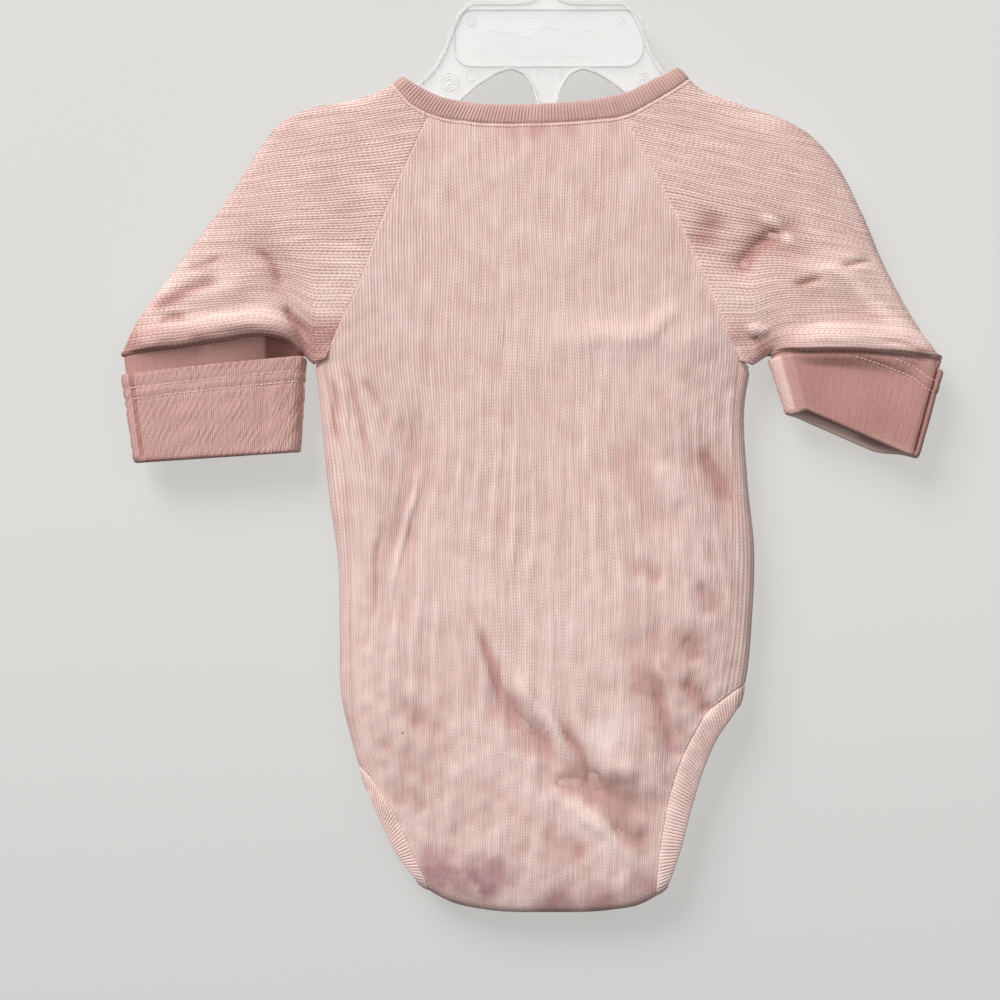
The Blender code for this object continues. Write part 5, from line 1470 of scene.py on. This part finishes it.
def hanger_outline():
    middle = HOOK_INSIDE + HOOK_WIDTH / 2
    turns = np.radians(np.linspace(HOOK_START, HOOK_END, 60))
    arc = np.column_stack((np.cos(turns), np.sin(turns))) * middle + (0.0, -HOOK_INSIDE)
    hook = np.vstack([np.array(HOOK_NECK, dtype=float), arc])
    outer, inner = beside(hook, HOOK_WIDTH / 2), beside(hook, -HOOK_WIDTH / 2)
    ahead = unit(arc[-1] - arc[-2])
    half_turn = np.radians(np.linspace(-60, 60, 7))
    side = np.array((ahead[1], -ahead[0]))
    tip = arc[-1] + HOOK_WIDTH / 2 * (np.cos(half_turn)[:, None] * ahead - np.sin(half_turn)[:, None] * side)
    neck, flare, under = (np.array(path, dtype=float) for path in (HANGER_NECK, HOOK_FLARE, HANGER_UNDER))
    mirror = (-1, 1)
    left_arm, right_arm = arm_top(SHOULDER["left"], -75, -124, -1), arm_top(SHOULDER["right"], 70, 121, 1)
    return np.vstack([outer, tip, inner[::-1], flare * mirror, neck * mirror, left_arm,
                      under * mirror, under[::-1], right_arm[::-1], neck[::-1], flare[::-1]])


def evened(outline, step=1.2, passes=2):
    """A closed outline with evenly spaced, slightly softened points."""
    closed = np.vstack([outline, outline[:1]])
    along = run_along(closed)
    at = np.linspace(0, along[-1], int(along[-1] / step) + 1)[:-1]
    line = np.column_stack([np.interp(at, along, closed[:, i]) for i in (0, 1)])
    for _ in range(passes):
        line = (np.roll(line, 1, axis=0) + 2 * line + np.roll(line, -1, axis=0)) / 4
    return line


def inset(outline, amount):
    """A closed outline moved inwards; a negative amount moves it outwards."""
    ahead = unit(np.roll(outline, -1, axis=0) - np.roll(outline, 1, axis=0))
    return outline + turning(outline) * amount * np.column_stack((-ahead[:, 1], ahead[:, 0]))


def round_corners(low, high, radius, corner_points=9):
    corners = ((high.x - radius, high.z - radius, 0), (low.x + radius, high.z - radius, 90),
               (low.x + radius, low.z + radius, 180), (high.x - radius, low.z + radius, 270))
    turns = np.radians(np.linspace(0, 90, corner_points))
    arcs = []
    for x, z, start in corners:
        turn = turns + math.radians(start)
        arcs.append(np.column_stack((x + radius * np.cos(turn), z + radius * np.sin(turn))))
    return np.vstack(arcs)


# %% Beads and web
WEB_HALF = 1.0
BEAD_SIDES = 16
BEAD_SQUARENESS = 0.72
Bead = namedtuple("Bead", "half_width half_height middle")
EDGE_BEAD = Bead(1.15, 2.2, 0.0)
ARCH_BEAD = Bead(0.8, 1.9, 0.0)
LABEL_BEAD = Bead(0.7, 1.75, 0.0)
MARK_BEAD = Bead(0.32, 0.32, -1.05)


def squarish(values):
    return np.sign(values) * np.abs(values) ** BEAD_SQUARENESS


def closed_bead(outline, bead):
    """A squarish rounded bar along a closed outline."""
    ahead = unit(np.roll(outline, -1, axis=0) - np.roll(outline, 1, axis=0))
    across = np.column_stack((ahead[:, 1], np.zeros(len(ahead)), -ahead[:, 0]))
    turns = full_turn(BEAD_SIDES)
    wide, deep = squarish(np.cos(turns)), squarish(np.sin(turns))
    centre = np.column_stack((outline[:, 0], np.full(len(outline), bead.middle), outline[:, 1]))
    rings = centre[:, None] + bead.half_width * wide[None, :, None] * across[:, None]
    rings[..., 1] += bead.half_height * deep[None]
    faces = ring_quads(len(outline), BEAD_SIDES, closed=True)
    if turning(outline) < 0:
        faces = [face[::-1] for face in faces]
    return rings.reshape(-1, 3), faces


def web(outlines, half):
    """A flat plate between outlines, standing in the plane of x and z."""
    curve = bpy.data.curves.new("web", "CURVE")
    curve.dimensions, curve.fill_mode, curve.extrude = "2D", "BOTH", half
    for outline in outlines:
        spline = curve.splines.new("POLY")
        spline.points.add(len(outline) - 1)
        for point, (x, z) in zip(spline.points, outline):
            point.co = (x, z, 0.0, 1.0)
        spline.use_cyclic_u = True
    flat = placed("web", curve)
    bpy.context.view_layer.update()
    mesh = bpy.data.meshes.new_from_object(flat.evaluated_get(bpy.context.evaluated_depsgraph_get()))
    bm = bmesh.new()
    bm.from_mesh(mesh)
    bmesh.ops.remove_doubles(bm, verts=bm.verts[:], dist=0.001)
    bmesh.ops.recalc_face_normals(bm, faces=bm.faces[:])
    bm.verts.index_update()
    points = np.array([(v.co.x, -v.co.z, v.co.y) for v in bm.verts])
    faces = [tuple(v.index for v in face.verts) for face in bm.faces]
    bm.free()
    bpy.data.objects.remove(flat)
    bpy.data.meshes.remove(mesh)
    return points, faces


def ring_mark(x, z, radius):
    turns = full_turn(36)
    return closed_bead(np.column_stack((x + radius * np.cos(turns), z + radius * np.sin(turns))), MARK_BEAD)


edge = evened(hanger_outline())
arch = evened(np.array(HANGER_ARCH, dtype=float), 1.0)
arches = [arch, arch * (-1, 1)]
border = evened(round_corners(LABEL_LOW, LABEL_HIGH, LABEL_ROUND), 1.0, 0)
hanger_shapes = [web([inset(edge, 1.0)] + [inset(line, -0.6) for line in arches], WEB_HALF)]
hanger_shapes.append(closed_bead(inset(edge, 1.15), EDGE_BEAD))
hanger_shapes += [closed_bead(inset(line, -0.8), ARCH_BEAD) for line in arches]
hanger_shapes.append(closed_bead(border, LABEL_BEAD))
EJECTOR_MARKS = [(-43.1, -81.9, (3.9, 2.6, 1.2)), (-33.0, -78.8, (2.5,)), (-33.4, -55.0, (2.2, 1.0)),
                 (32.1, -55.0, (2.2, 1.0)), (43.1, -81.9, (3.9, 2.6, 1.2))]
for x, z, radii in EJECTOR_MARKS:
    hanger_shapes += [ring_mark(x, z, radius) for radius in radii]
FLOW_LINES = [
    (0.34, rows((-5.3, -76), (-3.8, -84), (-2.9, -95))), (0.34, rows((5.9, -76), (4.4, -84), (3.5, -95))),
    (0.22, rows((-27, -59), (-14, -60.5), (-4, -57.5), (6, -59))),
    (0.20, rows((-22, -66), (-12, -63), (-6, -60), (0, -55))),
    (0.18, rows((-36, -68), (-31, -66.5), (-26, -68))), (0.18, rows((-14, -71), (2, -70.4), (18, -71))),
    (0.20, rows((-20, -54.5), (-8, -53.5), (4, -54.6))), (0.16, rows((10, -61), (18, -59.5), (24, -61))),
]
for radius, path in FLOW_LINES:
    line = drawn(path, 40)
    on_plate = np.column_stack((line[:, 0], np.full(len(line), -WEB_HALF), line[:, 1]))
    hanger_shapes.append(tube(on_plate, radius, 8))
hanger_mesh = joined("moulded_hanger", hanger_shapes)
hanger_mesh.data.set_sharp_from_angle(angle=math.radians(35))

# %% [markdown]
# ## Surfaces
#
# All surfaces are node trees. The knit is a matt yarn with a soft sheen: a warm pink on top of each rib,
# painted shade of a deeper pink in the grooves and the creases, short dashes of painted shade and light where
# a rib sinks and rises, flecks from mixed fibres, and a small chevron bump for the stitches, placed by the
# meshes' own wale coordinates. Larger blotches are listed one by one: stains along the crotch, faint blotches
# of uneven colour, painted shade in the seat's creases, under the neck band and at the underarms, and painted
# highlights on the folds. The plastic is partly see-through, and the snaps are satin metal.

# %% Surface tools
# A look holds the colours of a rib's top and of its groove, the groove's being painted shade, the ribs'
# pitch, a stitch's length, the bump's strength, how strong the flecks are, the length and the depth of the
# dashes of painted shade and light, and how far the wear evens the ribs out.
Look = namedtuple("Look", "top groove pitch stitch bump fleck dash broken worn")
LOOKS = {
    "body": Look((0.88, 0.69, 0.643), (0.52, 0.34, 0.315), WALE_PITCH, 0.62, 0.35, 0.07, 1.5, 0.13, 0.6),
    "sleeve": Look((0.95, 0.73, 0.68), (0.40, 0.24, 0.21), RIB_PITCH, 0.62, 0.35, 0.07, 2.3, 0.15, 0.8),
    "cuff": Look((0.68, 0.435, 0.402), (0.44, 0.25, 0.225), 1.0, 0.55, 0.30, 0.08, 1.6, 0.12, 0.35),
    "binding": Look((0.92, 0.71, 0.665), (0.55, 0.37, 0.33), LEG_RIB, 0.55, 0.30, 0.06, 1.6, 0.08, 0.3),
    "neck": Look((0.66, 0.44, 0.405), (0.38, 0.215, 0.19), NECK_RIB, 0.55, 0.30, 0.06, 1.6, 0.08, 0.3),
}


def feed(tree, socket, value):
    """Set a socket to a number or a colour, or link it to another node's output."""
    if isinstance(value, (int, float)):
        socket.default_value = value
    elif isinstance(value, tuple):
        socket.default_value = (*value, 1.0) if len(socket.default_value) == 4 else value
    else:
        tree.links.new(value, socket)


def fill(tree, node, **values):
    """Give some of a node's inputs or settings by name."""
    for key, value in values.items():
        if hasattr(node, key):
            setattr(node, key, value)
        else:
            feed(tree, node.inputs[key.replace("_", " ")], value)
    return node


def add(tree, kind, **values):
    return fill(tree, tree.nodes.new(kind), **values)


def math_node(tree, operation, *values, clamp=False):
    node = add(tree, "ShaderNodeMath", operation=operation, use_clamp=clamp)
    for socket, value in zip(node.inputs, values):
        feed(tree, socket, value)
    return node.outputs[0]


def mix_node(tree, factor, first, second, blend="MIX"):
    node = add(tree, "ShaderNodeMix", data_type="RGBA", blend_type=blend)
    for socket, value in ((node.inputs[0], factor), (node.inputs[6], first), (node.inputs[7], second)):
        feed(tree, socket, value)
    return node.outputs[2]


def vector_node(tree, operation, first, second):
    node = add(tree, "ShaderNodeVectorMath", operation=operation)
    feed(tree, node.inputs[0], first)
    feed(tree, node.inputs[1], second)
    return node.outputs


def new_material(name, **values):
    """A node material whose surface has the given inputs."""
    material = bpy.data.materials.new(name)
    material.use_nodes = True
    tree = material.node_tree
    return material, tree, fill(tree, tree.nodes["Principled BSDF"], **values)


DEEP_SHADE = (0.16, 0.07, 0.06)
Spot = namedtuple("Spot", "x z radius strength colour")
# Spots on the back. The six dark ones along the crotch are stains and the tiny one is a speck. The darker
# ones in the seat's creases are painted shade, the three just under the neck band are its painted shadow and
# the two at the underarms are painted shade. The near-white ones are painted highlights on the folds. The
# rest are faint blotches that tint the colour a little.
BODY_SPOTS = [
    Spot(-46, -431, 16, 0.9, (0.42, 0.235, 0.245)), Spot(-32, -434, 15, 0.9, (0.40, 0.22, 0.23)),
    Spot(-22, -428, 13, 0.7, (0.46, 0.27, 0.28)), Spot(4, -443, 12, 0.9, (0.44, 0.25, 0.25)),
    Spot(24, -443, 12, 0.8, (0.46, 0.26, 0.26)), Spot(42, -436, 11, 0.7, (0.52, 0.31, 0.30)),
    Spot(-63.1, -367.4, 0.8, 1.0, (0.16, 0.06, 0.05)), Spot(-40, -345, 16, 0.32, (0.70, 0.46, 0.43)),
    Spot(-52, -362, 14, 0.30, (0.68, 0.44, 0.41)), Spot(8, -262, 17, 0.25, (0.74, 0.52, 0.45)),
    Spot(30, -240, 14, 0.22, (0.74, 0.52, 0.45)), Spot(-12, -405, 14, 0.30, (0.70, 0.46, 0.43)),
    Spot(38, -330, 13, 0.28, (0.70, 0.46, 0.43)), Spot(45, -347, 13, 0.9, (0.54, 0.33, 0.31)),
    Spot(51, -366, 13, 0.9, (0.54, 0.33, 0.31)), Spot(30, -396, 15, 1.0, (0.48, 0.29, 0.27)),
    Spot(39, -413, 10, 1.0, (0.50, 0.30, 0.28)), Spot(5, -419, 12, 0.6, (0.58, 0.37, 0.35)),
    Spot(20, -391, 8, 0.8, (0.52, 0.32, 0.30)), Spot(-55, -375, 15, 0.4, (0.66, 0.43, 0.40)),
    Spot(-29, -394, 16, 0.35, (0.66, 0.43, 0.40)), Spot(14, -377, 8, 0.8, (0.54, 0.33, 0.31)),
    Spot(-15, -358, 9, 0.75, (0.56, 0.35, 0.33)), Spot(62, -330, 13, 0.8, (0.56, 0.35, 0.33)),
    Spot(84, -213, 7, 0.6, (0.56, 0.33, 0.30)), Spot(-4, -372, 7, 0.6, (0.56, 0.35, 0.33)),
    Spot(26, -369, 12, 0.7, (0.97, 0.80, 0.76)), Spot(17, -407, 9, 0.7, (0.97, 0.80, 0.76)),
    Spot(27, -417, 8, 0.5, (0.97, 0.80, 0.76)), Spot(37, -361, 8, 0.4, (0.97, 0.80, 0.76)),
    Spot(-58, -406, 9, 0.55, (0.95, 0.78, 0.74)), Spot(-30, -305, 12, 0.3, (0.94, 0.77, 0.72)),
    Spot(-16, -103, 7, 0.6, (0.60, 0.35, 0.32)), Spot(-4, -103, 8, 0.8, (0.58, 0.33, 0.30)),
    Spot(9, -103, 7, 0.6, (0.60, 0.35, 0.32)), Spot(0, -232, 16, 0.2, (0.70, 0.48, 0.43)),
    Spot(-96, -222, 10, 0.8, (0.54, 0.30, 0.27)),
]


# %% The knit's surface
# How the painted shade of creases and turned-under cloth acts on the knit's colour: it lowers the rib level
# and tints the colour a deeper pink.
HOLLOW_DARKENS = 0.42
HOLLOW_REDDENS = 0.85
HOLLOW_TINT = (0.91, 0.75, 0.735)
RIB_CONTRAST = 0.72
DASH_DRIFT = 2.6
BRICK = 0.46                        # how far each rib's dashes lie from the last rib's
SHADE_BALANCE = (0.7, 1.0, 1.05)    # the noises darken red least, so shade stays pink
WORN_STRETCH = (0.9, 0.035, 0.0)


def knit_material(name, look, spots=()):
    material, tree, surface = new_material(
        name, Roughness=0.92, Specular_IOR_Level=0.2, Sheen_Weight=0.22, Sheen_Roughness=0.45,
        Sheen_Tint=(1.0, 0.86, 0.82))
    calc, mixed = partial(math_node, tree), partial(mix_node, tree)
    place = add(tree, "ShaderNodeTexCoord").outputs["Object"]
    rib, hollow = (add(tree, "ShaderNodeAttribute", attribute_name=key).outputs["Fac"]
                   for key in ("rib", "hollow"))
    wales = add(tree, "ShaderNodeUVMap", uv_map="wales").outputs[0]
    split = add(tree, "ShaderNodeSeparateXYZ", Vector=wales)
    stretched = vector_node(tree, "MULTIPLY", wales, WORN_STRETCH)[0]
    uneven = add(tree, "ShaderNodeTexNoise", Scale=1.0, Detail=1.0, Vector=stretched).outputs["Fac"]

    rib_number = calc("FLOOR", calc("ADD", calc("DIVIDE", split.outputs[0], look.pitch), 0.5))
    shift = calc("ADD", calc("MULTIPLY", rib_number, BRICK), calc("MULTIPLY", uneven, DASH_DRIFT))
    dashes = calc("ADD", calc("DIVIDE", split.outputs[1], look.dash), shift)
    dashes = calc("SINE", calc("MULTIPLY", dashes, 2 * math.pi))
    worn = calc("MULTIPLY_ADD", uneven, look.worn, 0.2 - look.worn / 2)
    worn = calc("ADD", worn, calc("MULTIPLY", dashes, look.broken))
    # The creases' painted shade is taken off the level here, so from here on worn holds painted shade as well
    # as wear and dashes.
    worn = calc("SUBTRACT", worn, calc("MULTIPLY", hollow, HOLLOW_DARKENS))
    level = calc("ADD", calc("MULTIPLY", rib, RIB_CONTRAST), worn, clamp=True)

    colour = mixed(level, look.groove, look.top)
    # Painted shade: a deeper pink in the creases, and past 1 the deep shade.
    shade_reddening = calc("MULTIPLY", hollow, HOLLOW_REDDENS, clamp=True)
    colour = mixed(shade_reddening, colour, mixed(1.0, colour, HOLLOW_TINT, "MULTIPLY"))
    colour = mixed(calc("SUBTRACT", hollow, 1.0, clamp=True), colour, DEEP_SHADE)
    # Painted highlight: below -1 the colour is lifted to the body's rib top.
    lit = calc("SUBTRACT", calc("MULTIPLY", hollow, -1.0), 1.0, clamp=True)
    colour = mixed(lit, colour, LOOKS["body"].top)
    noises = [add(tree, "ShaderNodeTexNoise", Scale=scale, Detail=detail, Roughness=rough, Vector=place)
              for scale, detail, rough in ((1400.0, 2.0, 0.7), (22.0, 3.0, 0.55), (85.0, 3.0, 0.6))]
    fleck, cloud, patch = (noise.outputs["Fac"] for noise in noises)
    for noise, depth in ((fleck, look.fleck * 4), (cloud, 0.24), (patch, 0.26)):
        shade = add(tree, "ShaderNodeCombineColor")
        for socket, share in zip(shade.inputs, SHADE_BALANCE):
            feed(tree, socket, calc("MULTIPLY_ADD", noise, depth * share, 1 - depth * share / 2))
        colour = mixed(1.0, colour, shade.outputs[0], "MULTIPLY")
    flat = vector_node(tree, "MULTIPLY", place, (1.0, 0.0, 1.0))[0]
    ragged = calc("MULTIPLY_ADD", patch, 4.5, -1.1)
    for spot in spots:
        away = vector_node(tree, "DISTANCE", flat, (spot.x * METRES, 0.0, spot.z * METRES))["Value"]
        near = calc("SUBTRACT", 1.0, calc("DIVIDE", away, spot.radius * METRES), clamp=True)
        if spot.radius > 2:
            near = calc("MULTIPLY", near, ragged, clamp=True)
        colour = mixed(calc("MULTIPLY", near, spot.strength), colour, spot.colour)
    feed(tree, surface.inputs["Base Color"], colour)

    across = calc("FRACT", calc("DIVIDE", split.outputs[0], look.pitch))
    slant = calc("ABSOLUTE", calc("SUBTRACT", across, 0.5))
    along = calc("DIVIDE", split.outputs[1], look.stitch)
    stitch = calc("SINE", calc("MULTIPLY", calc("ADD", along, slant), 2 * math.pi))
    high = calc("ADD", calc("ADD", stitch, calc("MULTIPLY", fleck, 1.2)), calc("MULTIPLY", dashes, 0.8))
    bump = add(tree, "ShaderNodeBump", Strength=look.bump, Distance=0.00012, Height=high)
    feed(tree, surface.inputs["Normal"], bump.outputs[0])
    return material


knit_looks = {name: knit_material(f"knit_{name}", look) for name, look in LOOKS.items()}
knit_looks["back"] = knit_material("knit_back", LOOKS["body"], BODY_SPOTS)
plastic = new_material("clear_polystyrene", Base_Color=(0.97, 0.98, 0.98), Roughness=0.12, IOR=1.45,
                       Transmission_Weight=0.36, Alpha=0.56)[0]
metal = new_material("satin_snap", Base_Color=(0.72, 0.62, 0.60), Metallic=1.0, Roughness=0.32)[0]
thread = new_material("pink_thread", Base_Color=(0.90, 0.70, 0.65), Roughness=0.6, Sheen_Weight=0.15)[0]
seam_cloth = new_material("seam_cloth", Base_Color=(0.72, 0.50, 0.45), Roughness=0.9)[0]
print("materials:", len(knit_looks) + 4)

# %% [markdown]
# ## Dressing the frame
#
# Each piece gets its surface, rides on the frame's one body and takes the place of the plain solid that it
# was shaped on. The sewing replaces nothing, because the solids have no stitches.

# %% Dress the pieces
dressed = [(back_panel, "back_panel", knit_looks["back"], "rib_knit"),
           (front_panel, "front_panel", knit_looks["body"], "rib_knit"),
           (neck_binding, "neck_binding", knit_looks["neck"], "binding_rib")]
for hand in HANDS:
    dressed += [(sleeves[hand], f"sleeve_{hand}", knit_looks["sleeve"], "rib_knit"),
                (cuffs[hand], f"cuff_{hand}", knit_looks["cuff"], "cuff_knit"),
                (leg_bindings[hand], f"leg_binding_{hand}", knit_looks["binding"], "binding_rib")]
dressed += [(closed_seams, None, seam_cloth, "rib_knit"), (seam_stitches, None, thread, "rib_knit")]
dressed += [(hem_stitches[hand], None, thread, "rib_knit") for hand in HANDS]
dressed += [(piece, node, metal, "snap_metal") for piece, node in snaps]
dressed.append((hanger_mesh, "hanger", plastic, "clear_plastic"))
for piece, node, material, slot in dressed:
    piece.data.materials.append(material)
    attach(piece, "root")
    if node:
        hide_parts(node)
print("dressed pieces:", len(dressed))

# %% [markdown]

# %% [markdown]
# ## The wall, the light and the camera
#
# The garment hangs a finger's breadth in front of a pale wall, lit by a large soft window from above on the
# left and, faintly, by the room behind us. A third light stands behind the wall for the garment's front. The
# wall shows only from its front, so the part can be looked at from behind too. Its paint also glows a little,
# which is painted light: it keeps the wall as pale as a wall in daylight, and the glow darkens towards the
# wall's foot. The camera looks straight at the garment's back through a long lens.

# %% Stage
WALL_Y = 14.0
WALL_SIZE = 6.0
wall_mesh = bpy.data.meshes.new("pale_wall")
wall_corners = [(x * WALL_SIZE, WALL_Y * METRES, z * WALL_SIZE)
                for x, z in ((-1, -1), (1, -1), (1, 1), (-1, 1))]
wall_mesh.from_pydata(wall_corners, [], [(0, 1, 2, 3)])
wall = placed("pale_wall", wall_mesh)
wall.visible_shadow = False
wall.visible_diffuse = False
# The paint's glow is painted light, and it darkens towards the wall's foot.
wall_paint_and_glow, tree, surface = new_material("wall_paint_and_glow", Base_Color=(0.22, 0.22, 0.22), Roughness=0.9,
                                         Specular_IOR_Level=0.1, Emission_Strength=0.492)
wall_place = add(tree, "ShaderNodeTexCoord").outputs["Object"]
height = add(tree, "ShaderNodeSeparateXYZ", Vector=wall_place).outputs[2]
dim = add(tree, "ShaderNodeMapRange", interpolation_type="SMOOTHSTEP", Value=height, From_Min=-0.52,
          From_Max=-0.24, To_Min=0.0, To_Max=1.0).outputs[0]
feed(tree, surface.inputs["Emission Color"], mix_node(tree, dim, (0.86, 0.87, 0.85), (1.0, 1.0, 0.97)))
both = add(tree, "ShaderNodeMixShader")
sides = (add(tree, "ShaderNodeNewGeometry").outputs["Backfacing"], surface.outputs[0],
         add(tree, "ShaderNodeBsdfTransparent").outputs[0])
for socket, value in zip(both.inputs, sides):
    feed(tree, socket, value)
feed(tree, tree.nodes["Material Output"].inputs["Surface"], both.outputs[0])
wall_mesh.materials.append(wall_paint_and_glow)

# %% Light
MIDDLE = Vector((-0.0207, 0.0, -0.2658))


def soft_light(name, place, power, size, colour):
    data = bpy.data.lights.new(name, "AREA")
    data.energy, data.size, data.color = power, size, colour
    light = placed(name, data)
    light.location = place
    light.rotation_euler = (MIDDLE - Vector(place)).to_track_quat("-Z", "Y").to_euler()


soft_light("window_above", (-2.6, -3.6, 3.7), 422.0, 3.4, (1.0, 0.985, 0.975))
soft_light("room_behind", (0.9, -3.2, 0.1), 28.0, 3.0, (1.0, 0.95, 0.93))
soft_light("other_side", (1.6, 3.4, 1.4), 150.0, 3.0, (1.0, 0.97, 0.95))
print("lights:", [light.name for light in bpy.data.lights])
world = bpy.data.worlds.new("studio_air")
world.use_nodes = True
fill(world.node_tree, world.node_tree.nodes["Background"], Color=(1.0, 0.95, 0.935), Strength=0.16)
bpy.context.scene.world = world
bpy.context.scene.view_settings.view_transform = "Standard"

# %% Camera
LENS = 100.0
SENSOR = 36.0
VIEW_WIDTH = 0.44
camera_data = bpy.data.cameras.new("camera")
camera_data.lens, camera_data.sensor_width = LENS, SENSOR
camera = placed("camera", camera_data)
camera.location = MIDDLE - Vector((0.0, VIEW_WIDTH * LENS / SENSOR, 0.0))
camera.rotation_euler = (math.pi / 2, 0.0, 0.0)
bpy.context.scene.camera = camera
